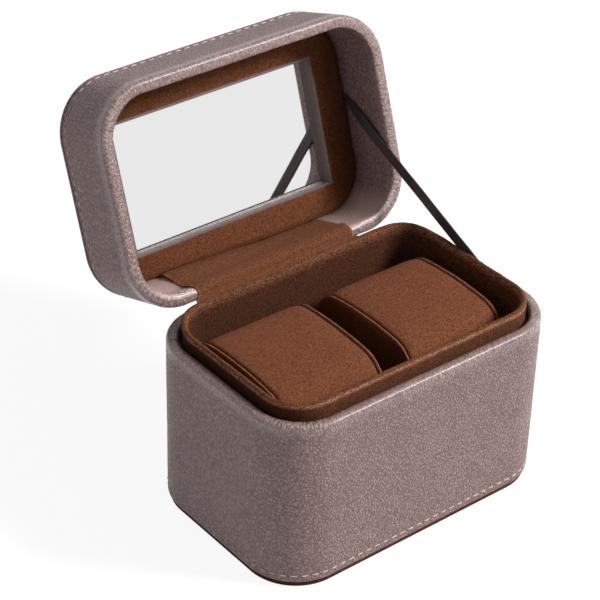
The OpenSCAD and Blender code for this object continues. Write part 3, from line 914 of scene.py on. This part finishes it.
def buildLidTop():
    # leather cap with a rounded edge and a faintly padded middle
    high = caseSizes["lidH"] - lidInside["ceiling"]
    bm = boxBlank((2 * halfW, 2 * halfD, high), (0, 0, lidTopZ - high / 2))
    roundEdges(bm, longEdges(bm, 2), cornerR, 30)
    roundEdges(bm, edgesOf([f for f in bm.faces if f.normal.z > 0.9]), lidInside["edgeR"], 8)
    roundEdges(bm, edgesOf([f for f in bm.faces if f.normal.z < -0.9]), lidTop["lowR"], 2)
    for cap in [f for f in bm.faces if len(f.verts) > 60]:
        ringCaps(bm, [cap], lidTop["rings"], lidTop["ringWidth"])
    along = addMeasures(bm, "along", "across", "hem")[0]
    long = lidTop["waveLength"]
    for v in bm.verts:
        v[along] = ringAlong(v.co.x, v.co.y)
        if v.co.z > lidTopZ - 0.01:
            edge = min(halfW - abs(v.co.x), halfD - abs(v.co.y))
            wave = lidTop["waves"] * grainNoise(v.co.x / long, v.co.y / long, 3.3)
            v.co.z += lidTop["padding"] * smoothStep(*lidTop["paddingFrom"], edge) + wave
    openLid(bm)
    finishPiece("lidTop", bm, plainLeather, "lid", "leather", ["lid_top_leather"])


buildLidWrap()
buildLidTop()
buildStitches("lidStitches", lidTopZ - stitchLine["lidDrop"], "lid", ["lid_stitching"])
print("lid leather built")

mirror = {
    "width": 108.0, "height": 58.8, "shift": 1.2, "recess": 3.7, "lap": 0.8, "lip": 0.35,
    "lipR": 0.38, "padTurn": 3.0,
}
padLook = {
    "back": 4.8, "play": 0.05, "openingPlay": 0.1, "swellDepth": 30.0,
    "waves": 0.1, "waveLength": 9.0, "wornAndLitFrom": (1.2, 0.0), "crownFrom": (0.0, 5.0),
    "shadeRight": 0.55, "rightX": (56.0, 67.0), "shadeLeft": 0.3, "leftX": (-30.0, -60.0),
}


def onOpening(p, grow):
    # nearest point of the mirror's opening, grown by a little
    halfX, halfY = mirror["width"] / 2 + grow, mirror["height"] / 2 + grow
    shift = mirror["shift"]
    return max(-halfX, min(halfX, p.x)), max(shift - halfY, min(shift + halfY, p.y))


def buildLidPad():
    # suede face: a rolled outer edge at the lining, drawn in ring by ring to the mirror's opening
    face, inset = lidRimZ + lidInside["padDepth"], lidInside["liningInset"] + padLook["play"]
    soft, rings = lidInside["softEdge"], lidInside["rings"]
    section = [(0, face + padLook["back"]), (0, face + soft)]
    section += arc(soft, face + soft, soft, 180, 270, 8)[1:]
    bm = sweepRing(section, 2 * (halfW - inset), 2 * (halfD - inset), cornerR - inset,
                   step=1.6, closed=False)
    hemLayer = bm.verts.layers.float["hem"]
    edges = [e for e in bm.edges if e.is_boundary and e.verts[0].co.z < face + 0.5]
    for k in range(rings):
        fresh, edges, _ = extrudeLine(bm, edges, Vector((0, 0, 0)))
        share = 1.0 / (rings - k)
        for v in fresh:
            goal = onOpening(v.co, padLook["openingPlay"])
            v.co.x, v.co.y = lerp(v.co.x, goal[0], share), lerp(v.co.y, goal[1], share)
    long = padLook["waveLength"]
    for v in bm.verts:
        if abs(v.co.z - face) < 1e-4:
            toMirror = max(abs(v.co.x) - mirror["width"] / 2,
                           abs(v.co.y - mirror["shift"]) - mirror["height"] / 2)
            # lighter suede at the opening's fold: wear and painted highlight
            v[hemLayer] = smoothStep(*padLook["wornAndLitFrom"], toMirror)
            crown = lidInside["crown"] * smoothStep(*padLook["crownFrom"], toMirror)
            v.co.z += padLook["waves"] * grainNoise(v.co.x / long, v.co.y / long, 5.0) - crown
    extrudeLine(bm, edges, Vector((0, 0, mirror["padTurn"])))
    bmesh.ops.remove_doubles(bm, verts=bm.verts, dist=1e-3)
    bmesh.ops.recalc_face_normals(bm, faces=bm.faces)
    shadeLayer = addMeasures(bm, "shade")[0]
    low = mirror["shift"] + mirror["height"] / 2
    for v in bm.verts:
        v[shadeLayer] = (padLook["shadeRight"] * smoothStep(*padLook["rightX"], v.co.x)
                         + padLook["shadeLeft"] * smoothStep(*padLook["leftX"], v.co.x))
        swell = liningSwell(v.co.x, padLook["swellDepth"])
        v.co.y -= swell * smoothStep(low + 1.0, halfD - inset, v.co.y)
    openLid(bm)
    piece = finishPiece("lidPad", bm, padSuede, "lid", "suede", ["lid_pad_suede", "lid_pad_foam"])
    return piece


def buildReveal():
    # leather edge of the opening, turned down to the glass, in a darker copy of the leather for painted
    # shade
    face, grow = lidRimZ + lidInside["padDepth"], mirror["lap"]
    top, glass = face - mirror["lip"], face + mirror["recess"]
    bm = boxBlank((mirror["width"] + 2 * grow, mirror["height"] + 2 * grow, glass - top),
                  (0, mirror["shift"], (glass + top) / 2))
    ends = [f for f in bm.faces if abs(f.normal.z) > 0.9]
    bmesh.ops.inset_individual(bm, faces=ends, thickness=grow, use_even_offset=True)
    bmesh.ops.bridge_loops(bm, edges=edgesOf(ends))
    bmesh.ops.delete(bm, geom=ends, context="FACES_ONLY")
    lip = [e for e in bm.edges if all(abs(v.co.z - top) < 1e-4 for v in e.verts)]
    loops = [e for e in lip if sum(1 for f in e.link_faces if abs(f.normal.z) > 0.9) == 1]
    roundEdges(bm, loops, mirror["lipR"], 4)
    addMeasures(bm, "along", "across", "hem")
    bmesh.ops.recalc_face_normals(bm, faces=bm.faces)
    openLid(bm)
    finishPiece("mirrorEdge", bm, shadedRevealLeather, "lid", "leather", ["mirror_reveal"], smooth=False)


buildLidPad()
buildReveal()
print("lid pad and mirror edge built")

strip = {
    "width": 87.0, "middle": -1.2, "thick": 0.5, "lie": 0.4, "ragged": 0.2,
    "waves": 0.35, "waveSize": (13.0, 7.0), "fullness": 1.0, "fullX": (15.0, -35.0),
    "fullDepth": (12.0, 27.0), "narrow": 2.0, "narrowX": (20.0, 44.0), "flare": 2.4,
    "flareX": (-20.0, -44.0), "flareZ": (87.0, 84.0), "wornAndLit": 0.6, "wornAndLitFrom": (1.0, 0.2),
    "edgeReach": 6.0, "edgeLength": 6.0, "swellSide": (0.0, 4.0), "swellFrom": (-1.0, 3.0),
    "freeDepth": (9.0, 1.0), "onHem": (0.0, 5.0), "offHem": (0.4, 8.4),  # from the slot, depth
    "onWall": (12.2, 20.0), "ends": 0.3, "starts": 0.4, "endR": 0.15,
}


def buildHingeStrip():
    # out of the slot behind the collar, over the base's hem, through the valley, to the lid's pad
    lie, innerR = strip["lie"], hem["innerR"]
    slot = halfD - hem["width"] - lie
    hemMiddle, reach = halfD - hem["width"] + innerR, innerR + lie
    wallBack = halfD - lidInside["liningInset"] - lie
    off = caseSizes["rimGap"] / 2 - lie
    valleyR = off + (hingeY - hemMiddle) * math.tan(math.radians(openAngle / 2))
    wall = curveThrough([(slot, lidRimZ + innerR)] + [
        (slot + back, lidRimZ + depth) for back, depth in (strip["onHem"], strip["offHem"])
    ] + [(wallBack, lidRimZ + depth) for depth in (
        *strip["onWall"], lidInside["padDepth"] - strip["ends"])], 6)
    lidPart = arc(hemMiddle, lidRimZ + innerR, reach, 270, 180, 10)[:-1] + wall
    path = [(slot, rimZ - hem["height"] + strip["starts"]), (slot, rimZ - innerR - 1.0)]
    path += arc(hemMiddle, rimZ - innerR, reach, 180, 90, 10)
    path += arc(hemMiddle, hingeZ - off + valleyR, valleyR, 270, 450 - openAngle, 12)[1:-1]
    path += [openedPoint(y, z) for y, z in lidPart]
    bm = sweepBar(bandSection(path, strip["thick"]), strip["width"], 70, strip["middle"],
                  strip["endR"])
    hemLayer = bm.verts.layers.float["hem"]
    up = Vector((0, *openedPoint(0, 0))) - Vector((0, *openedPoint(1, 0)))
    bm.normal_update()
    moved = []
    for v in bm.verts:
        x, side = v.co.x, strip["width"] / 2 - abs(v.co.x - strip["middle"])
        depth = shutPoint(v.co.y, v.co.z)[1] - lidRimZ
        onLid = v.co.y > hemMiddle + 2
        frayed = strip["ragged"] * grainNoise(v.co.y / strip["edgeLength"], 3.0 if x > 0 else 8.0)
        shift = Vector((frayed * smoothStep(strip["edgeReach"], 0.0, side), 0, 0))
        if onLid:
            full = smoothStep(*strip["fullX"], x) * smoothStep(*strip["fullDepth"], depth)
            shift += up * (liningSwell(x, depth) + strip["fullness"] * full)
            if v.normal.dot(up) > 0 or v.normal.y < -0.3:
                wide, deep = strip["waveSize"]
                swell = strip["waves"] * (0.5 + grainNoise(x / wide, depth / deep, 1.1))
                shift += (v.normal * swell * smoothStep(*strip["swellSide"], side)
                          * smoothStep(*strip["swellFrom"], depth))
        share = smoothStep(*strip["freeDepth"], depth) if onLid else 1.0
        shift.x -= strip["narrow"] * smoothStep(*strip["narrowX"], x) * share
        flare = smoothStep(*strip["flareX"], x) * smoothStep(*strip["flareZ"], v.co.z)
        shift.x -= strip["flare"] * flare * share
        # lighter suede along the strip's edges: wear and painted highlight
        moved.append((v, shift, strip["wornAndLit"] * smoothStep(*strip["wornAndLitFrom"], side)))
    for v, shift, wornAndLit in moved:
        v.co += shift
        v[hemLayer] = wornAndLit
    piece = finishPiece("hingeStrip", bm, hingeSuede, None, "suede", ["hinge_suede_strip"])
    lidEdge = openedPoint(hemMiddle, lidRimZ - lie)
    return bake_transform(piece, "base", "lid", start=(0, (hemMiddle + 0.5) * mm, (rimZ + lie) * mm),
                    end=(0, lidEdge[0] * mm, lidEdge[1] * mm))


spine = {
    "width": 88.0, "thick": 0.85, "flap": 14.0, "waves": 0.06, "waveLength": 7.0, "endR": 0.3,
    "bendFrom": 1.6, "bendMiddle": 0.5, "bendBack": 0.02,
}


def buildHingeSpine():
    y, z, flap, bend = hingeY, hingeZ, spine["flap"], spine["bendFrom"]
    back, near, long = y + spine["bendBack"], spine["bendMiddle"], spine["waveLength"]
    turn = [(y, z - bend), (back, z - near), openedPoint(back, z + near), openedPoint(y, z + bend)]
    line = densify([(y, z - flap), turn[0]], 1.0)[:-1] + curveThrough(turn, 6)
    line = line[:-1] + densify([turn[-1], openedPoint(y, z + flap)], 1.0)
    bm = sweepBar(bandSection(line, spine["thick"]), spine["width"], 64, rounding=spine["endR"])
    for v in bm.verts:
        wave = spine["waves"] * grainNoise(v.co.x / long, v.co.y / long, v.co.z / long)
        v.co += Vector((0, wave, 0) if v.co.z < z - 2 else (0, 0, wave))
    piece = finishPiece("hingeSpine", bm, plainLeather, None, "leather", ["hinge_leather"])
    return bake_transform(piece, "base", "lid", start=(0, y * mm, (z - 1.5) * mm),
                    end=(0, turn[-1][0] * mm, turn[-1][1] * mm))


ribbon = {
    "width": 5.5, "thick": 0.5, "baseY": -7.5, "sink": 1.2, "lidY": -6.0, "tail": 3.0,
    "gather": 0.62, "gatherRun": 16.0, "lift": 0.9, "liftRun": 26.0, "cup": 1.4, "cupRun": 22.0,
    "ease": 0.12, "easeFrom": (8.0, 20.0), "easeLength": 12.0,
}


def buildRibbon():
    x = halfW - (hem["width"] + collar["sideInset"]) / 2
    low = Vector((ribbon["baseY"], rimZ - ribbon["sink"]))
    high = Vector(openedPoint(ribbon["lidY"], lidRimZ + lidInside["padDepth"]))
    way = (high - low).normalized()
    side = Vector((-way.y, way.x))
    start, length = low - way * ribbon["tail"], (high - low).length + ribbon["tail"]
    bm = bmesh.new()
    along, across, _ = addMeasures(bm, "along", "across", "hem")
    bmesh.ops.create_grid(bm, x_segments=90, y_segments=8, size=0.5)
    for v in bm.verts:
        s, a = (v.co.x + 0.5) * length, v.co.y * ribbon["width"]
        v[along], v[across] = s, a
        gathered, lifted, cupped = (
            smoothStep(length - ribbon[run], length, s)
            for run in ("gatherRun", "liftRun", "cupRun"))
        p = start + way * s + side * a * lerp(1.0, ribbon["gather"], gathered)
        cup = ribbon["cup"] * cupped * (a / ribbon["width"]) ** 2
        ease = ribbon["ease"] * grainNoise(s / ribbon["easeLength"], 0.0, 4.0) * smoothStep(
            *ribbon["easeFrom"], s)
        v.co = Vector((x + ribbon["lift"] * lifted - cup + ease, p.x, p.y))
    bmesh.ops.recalc_face_normals(bm, faces=bm.faces)
    bmesh.ops.solidify(bm, geom=list(bm.faces), thickness=ribbon["thick"])
    bmesh.ops.recalc_face_normals(bm, faces=bm.faces)
    piece = finishPiece("ribbonStay", bm, ribbonWeave, None, "ribbon", ["ribbon_stay"])
    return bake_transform(piece, "base", "lid", start=(x * mm, low.x * mm, low.y * mm),
                    end=(x * mm, high.x * mm, high.y * mm))


buildHingeStrip()
buildHingeSpine()
buildRibbon()
print("hinge and ribbon built")

cushion = {
    "width": 54.0, "depth": 63.0, "height": 45.0, "edgeR": 11.0, "crownR": 156.0, "gap": 11.5,
    "shift": -1.0, "left": 1.0, "rise": 1.0, "shrink": 0.4, "piping": 0.7, "cuts": (17, 11, 6),
    "cell": 4.0, "cornerPull": 0.012, "pullReach": 7.0, "dropReach": 9.0,
    "drops": {-1: (0.3, 1.0), 1: (1.0, 0.9)},  # of the left and right end of each cushion
    "lean": {-1: 0.8, 1: 0.0}, "back": {-1: 1.2, 1: 0.0},
    "lip": 2.1, "lipRise": 0.35, "lipMiddle": 0.9, "grooveDepth": 1.0, "grooveWidth": 0.4,
    "sideDip": 0.9, "dipReach": (1.0, 8.0), "waves": 0.15, "waveLength": 11.0,
    "halo": (0.25, 3.0), "lipWidth": 0.6, "wornAndLitWidth": 0.8, "sideH": 21.0, "sideMargin": 1.0,
    "sideShade": 0.6, "shadeZ": (84.0, 78.0),
    "pressure": 4.0, "clothMass": 0.3, "quality": 6, "frames": 20,
    "travel": 0.75, "held": (7.0, 1.5),  # how far the cloth may move, and where it is held
}


def cutFaces(bm, chosen, axis, places):
    # slices the chosen faces by planes across one axis
    for place in places:
        faces = [f for f in bm.faces if chosen(f)]
        edges = list(dict.fromkeys(edgesOf(faces)))
        verts = list(dict.fromkeys(v for f in faces for v in f.verts))
        bmesh.ops.bisect_plane(bm, geom=faces + edges + verts, dist=1e-4, plane_co=axis * place,
                               plane_no=axis)


def cushionBlank(side):
    # the block: rounded front and back, crowned top, slightly small, cut into a grid for the cloth
    small, crownR = cushion["shrink"], cushion["crownR"]
    w, d, h = cushion["width"] - 2 * small, cushion["depth"] - 2 * small, cushion["height"] - small
    bm = boxBlank((w, d, h))
    roundEdges(bm, longEdges(bm, 0), cushion["edgeR"], 8)
    rims = [e for e in bm.edges if len(e.link_faces) == 2
            and abs(e.link_faces[0].normal.x - e.link_faces[1].normal.x) > 0.5]
    roundEdges(bm, rims, cushion["piping"], 2)
    for axis, cuts in enumerate(cushion["cuts"]):
        bmesh.ops.subdivide_edges(bm, edges=longEdges(bm, axis, 8), cuts=cuts)
    bm.normal_update()
    for axis, most in ((Vector((0, 1, 0)), 7), (Vector((0, 0, 1)), 5)):
        cutFaces(bm, lambda f: abs(f.normal.x) > 0.99, axis,
                 [cushion["cell"] * k for k in range(-most, most + 1)])
    for v in bm.verts:
        off = w / 2 - abs(v.co.x)
        v.co.y *= 1 - cushion["cornerPull"] * smoothStep(cushion["pullReach"], 0.0, off)
        if v.co.z > 0:
            drop = crownR - math.sqrt(crownR ** 2 - v.co.y ** 2)
            sag = cushion["drops"][side][0 if v.co.x < 0 else 1]
            sag *= smoothStep(cushion["dropReach"], 0.0, off)
            lean = cushion["lean"][side] * v.co.y / (d / 2)
            v.co.z += (lean - drop - sag) * smoothStep(0, h / 2, v.co.z)
    x = side * (cushion["gap"] / 2 + cushion["width"] / 2) - cushion["left"]
    place = (x, cushion["back"][side] - cushion["shift"], rimZ + cushion["rise"] - small - h / 2)
    bmesh.ops.translate(bm, verts=bm.verts, vec=place)
    bmesh.ops.triangulate(bm, faces=[f for f in bm.faces if len(f.verts) > 4])
    bmesh.ops.scale(bm, verts=bm.verts, vec=(mm, mm, mm))
    return bm, x, w / 2


def applyModifiers(piece):
    depsgraph = bpy.context.evaluated_depsgraph_get()
    mesh = bpy.data.meshes.new_from_object(piece.evaluated_get(depsgraph))
    piece.modifiers.clear()
    piece.data = mesh


def plump(piece, x, halfWide):
    # cloth under pressure, held along its side seams, with each point's travel capped
    start = [v.co.copy() for v in piece.data.vertices]
    held = piece.vertex_groups.new(name="seams")
    for v in piece.data.vertices:
        off = halfWide - abs(v.co.x / mm - x)
        if off > 0.01:
            held.add([v.index], smoothStep(*cushion["held"], off), "REPLACE")
    cloth = piece.modifiers.new("cloth", "CLOTH")
    settings, frames = cloth.settings, cushion["frames"]
    settings.use_pressure = True
    settings.uniform_pressure_force = cushion["pressure"]
    settings.vertex_group_mass = held.name
    settings.effector_weights.gravity = 0.0
    settings.quality = cushion["quality"]
    settings.mass = cushion["clothMass"]
    cloth.point_cache.frame_start, cloth.point_cache.frame_end = 1, frames
    for k in range(1, frames + 1):
        bpy.context.scene.frame_set(k)
    applyModifiers(piece)
    bpy.context.scene.frame_set(1)
    cap = cushion["travel"] * mm
    for v, was in zip(piece.data.vertices, start):
        step = v.co - was
        if step.length > cap:
            v.co = was + step * (cap / step.length)
    piece.vertex_groups.clear()
    fine = piece.modifiers.new("fine", "SUBSURF")
    fine.levels = fine.render_levels = 1
    applyModifiers(piece)


def shapeSeams(bm, x, halfWide, side):
    # groove and lip along each side seam, sunken side panels, and the measures for the suede
    lip, wide = cushion["lip"], cushion["grooveWidth"]
    for way in (-1, 1):
        for off in (0.7, 1.2, lip - wide, lip - wide / 2, lip, lip + wide / 2, lip + wide,
                    lip + 2 * wide):
            bmesh.ops.bisect_plane(
                bm, geom=list(bm.verts) + list(bm.edges) + list(bm.faces), dist=1e-4,
                plane_co=(x + way * (halfWide - off), 0, 0), plane_no=(1, 0, 0))
    addMeasures(bm, "along", "across", "hem", "shade")
    hemLayer, shadeLayer = bm.verts.layers.float["hem"], bm.verts.layers.float["shade"]
    bm.normal_update()
    middleZ = rimZ + cushion["rise"] - cushion["height"] / 2
    long, middle = cushion["waveLength"], cushion["lipMiddle"]
    haloShare, haloWidth = cushion["halo"]
    shifts = []
    for v in bm.verts:
        off = halfWide - abs(v.co.x - x)
        outward = Vector((0, v.normal.y, v.normal.z))
        if outward.length > 0.2:
            outward.normalize()
        sideways = abs(v.normal.x) ** 3
        seam = cushion["grooveDepth"] * (
            bump(off - lip, wide) + haloShare * bump(off - lip, haloWidth * wide))
        raisedLip = cushion["lipRise"] * bump(off - middle, cushion["lipWidth"])
        shift = outward * (raisedLip - seam) * (1 - sideways)
        fromEdge = min(
            cushion["sideH"] - abs(v.co.z - middleZ),
            cushion["depth"] / 2 - cushion["sideMargin"] - abs(v.co.y + cushion["shift"]))
        inward = cushion["sideDip"] * smoothStep(*cushion["dipReach"], fromEdge) * sideways
        shift += Vector((-math.copysign(inward, v.normal.x), 0, 0))
        shift += v.normal * cushion["waves"] * grainNoise(
            v.co.x / long, v.co.y / long, v.co.z / long + side)
        shade = cushion["sideShade"] * sideways * smoothStep(*cushion["shadeZ"], v.co.z)
        # lighter suede along the lip: wear and painted highlight
        wornAndLit = bump(off - middle, cushion["wornAndLitWidth"]) * (1 - sideways)
        shifts.append((v, shift, wornAndLit, max(shade, cushion["sideShade"] * bump(off - lip, wide))))
    for v, shift, wornAndLit, shade in shifts:
        v.co += shift
        v[hemLayer], v[shadeLayer] = wornAndLit, shade


def buildCushion(word, side):
    name = f"{word}Cushion"
    bm, x, halfWide = cushionBlank(side)
    piece = addObject(name, makeMesh(name, bm))
    plump(piece, x, halfWide)
    bm = bmesh.new()
    bm.from_mesh(piece.data)
    bmesh.ops.scale(bm, verts=bm.verts, vec=(1 / mm, 1 / mm, 1 / mm))
    shapeSeams(bm, x, halfWide, side)
    bmesh.ops.scale(bm, verts=bm.verts, vec=(mm, mm, mm))
    bm.to_mesh(piece.data)
    bm.free()
    declare(piece, cushionSuede, f"{word}_cushion", "suede", [
        f"{word}_cushion_core", f"{word}_cushion_cover", f"{word}_cushion_end_panels"])
    return piece


for word, side in (("left", -1), ("right", 1)):
    buildCushion(word, side)
    print(word, "cushion built")

keptNodes = {
    greyBoard: ["base_wall_board", "base_floor_board", "collar_packing", "tray_support",
                "tray_floor_board", "lid_wall_board", "lid_top_board"],
    collarSuede: ["tray_floor_suede"],
    mirrorSilver: ["mirror_glass"],
}
for material, nodes in keptNodes.items():
    for node in nodes:
        cover(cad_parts[node], material)

stageLook = {
    "floor": (0.86, 0.86, 0.86, 1), "size": 6.0, "below": 0.0001, "horizon": 0.165,
    "zenith": 0.20, "seenWhite": 0.90, "seenShade": (0.24, 0.24, 0.24, 1),
}
lamps = {
    "keyLamp": {"place": (0.85, -0.88, 1.08), "aim": (0, 0, 0.06), "size": 0.38, "watts": 26},
    "fillLamp": {"place": (-1.3, -0.5, 0.25), "aim": (0, 0, 0.08), "size": 0.8, "watts": 0.7},
}
view = {
    "azimuth": -39.456, "elevation": 33.615, "roll": 1.678, "distance": 0.768877,
    "target": (-0.082599, -0.062786, 0.159951), "lens": 127.2815, "sensor": 36.0,
}
plainWhite = (1, 1, 1, 1)


def seenDirectly(tree):
    # 1 for rays from the camera, a mirror or glass
    rays = tree.nodes.new("ShaderNodeLightPath").outputs
    others = calc(tree, "MAXIMUM", rays["Is Glossy Ray"], rays["Is Transmission Ray"])
    return calc(tree, "MAXIMUM", rays["Is Camera Ray"], others)


def byRay(tree, lit, seen):
    # one shader as light falls on it, another where it is seen
    return put(tree, "ShaderNodeMixShader",
               {0: seenDirectly(tree), 1: lit.outputs[0], 2: seen.outputs[0]}).outputs[0]


def buildStage():
    bm = bmesh.new()
    bmesh.ops.create_grid(bm, x_segments=1, y_segments=1, size=stageLook["size"])
    bmesh.ops.translate(bm, verts=bm.verts, vec=(0, 0, -stageLook["below"]))
    floor = addObject("floor", makeMesh("floor", bm))
    material = bpy.data.materials.new("floorPaper")
    material.use_nodes = True
    tree = material.node_tree
    tree.nodes.clear()
    paper = put(tree, "ShaderNodeBsdfDiffuse", {"Color": stageLook["floor"]})
    shade = put(tree, "ShaderNodeBsdfDiffuse", {"Color": stageLook["seenShade"]})
    white = put(tree, "ShaderNodeEmission",
                {"Color": plainWhite, "Strength": stageLook["seenWhite"]})
    seen = put(tree, "ShaderNodeAddShader", {0: shade.outputs[0], 1: white.outputs[0]})
    put(tree, "ShaderNodeOutputMaterial", {0: byRay(tree, paper, seen)})
    cover(floor, material)


def buildWorld():
    # white where it is seen; as a light, a little brighter overhead than near the horizon
    world = bpy.data.worlds.new("studio")
    world.use_nodes = True
    bpy.context.scene.world = world
    tree = world.node_tree
    tree.nodes.clear()
    coords = tree.nodes.new("ShaderNodeTexCoord")
    parts = put(tree, "ShaderNodeSeparateXYZ", {0: coords.outputs["Generated"]})
    glow = span(tree, parts.outputs["Z"], 0.1, 0.8, stageLook["horizon"], stageLook["zenith"])
    soft = put(tree, "ShaderNodeBackground", {"Color": plainWhite, "Strength": glow})
    white = put(tree, "ShaderNodeBackground", {"Color": plainWhite, "Strength": 1.0})
    put(tree, "ShaderNodeOutputWorld", {0: byRay(tree, soft, white)})


def buildLamp(name, place, aim, size, watts):
    data = bpy.data.lights.new(name, "AREA")
    data.shape, data.size, data.energy = "SQUARE", size, watts
    lamp = addObject(name, data)
    lamp.location = place
    lamp.rotation_mode = "QUATERNION"
    lamp.rotation_quaternion = (Vector(aim) - Vector(place)).to_track_quat("-Z", "Y")


def buildCamera():
    a, e, r = (math.radians(view[k]) for k in ("azimuth", "elevation", "roll"))
    back = Vector((math.sin(a) * math.cos(e), -math.cos(a) * math.cos(e), math.sin(e)))
    right = Vector((math.cos(a), math.sin(a), 0))
    up = back.cross(right)
    right, up = right * math.cos(r) + up * math.sin(r), up * math.cos(r) - right * math.sin(r)
    data = bpy.data.cameras.new("camera")
    data.lens, data.sensor_width = view["lens"], view["sensor"]
    data.clip_start, data.clip_end = 0.05, 30.0
    camera = addObject("camera", data)
    camera.rotation_mode = "QUATERNION"
    camera.rotation_quaternion = Matrix((right, up, back)).transposed().to_quaternion()
    camera.location = Vector(view["target"]) + back * view["distance"]
    bpy.context.scene.camera = camera


buildStage()
buildWorld()
for name, lamp in lamps.items():
    buildLamp(name, **lamp)
buildCamera()
print("stage, lamps and camera built")

bpy.context.scene.view_settings.view_transform = "Standard"
bpy.context.view_layer.update()
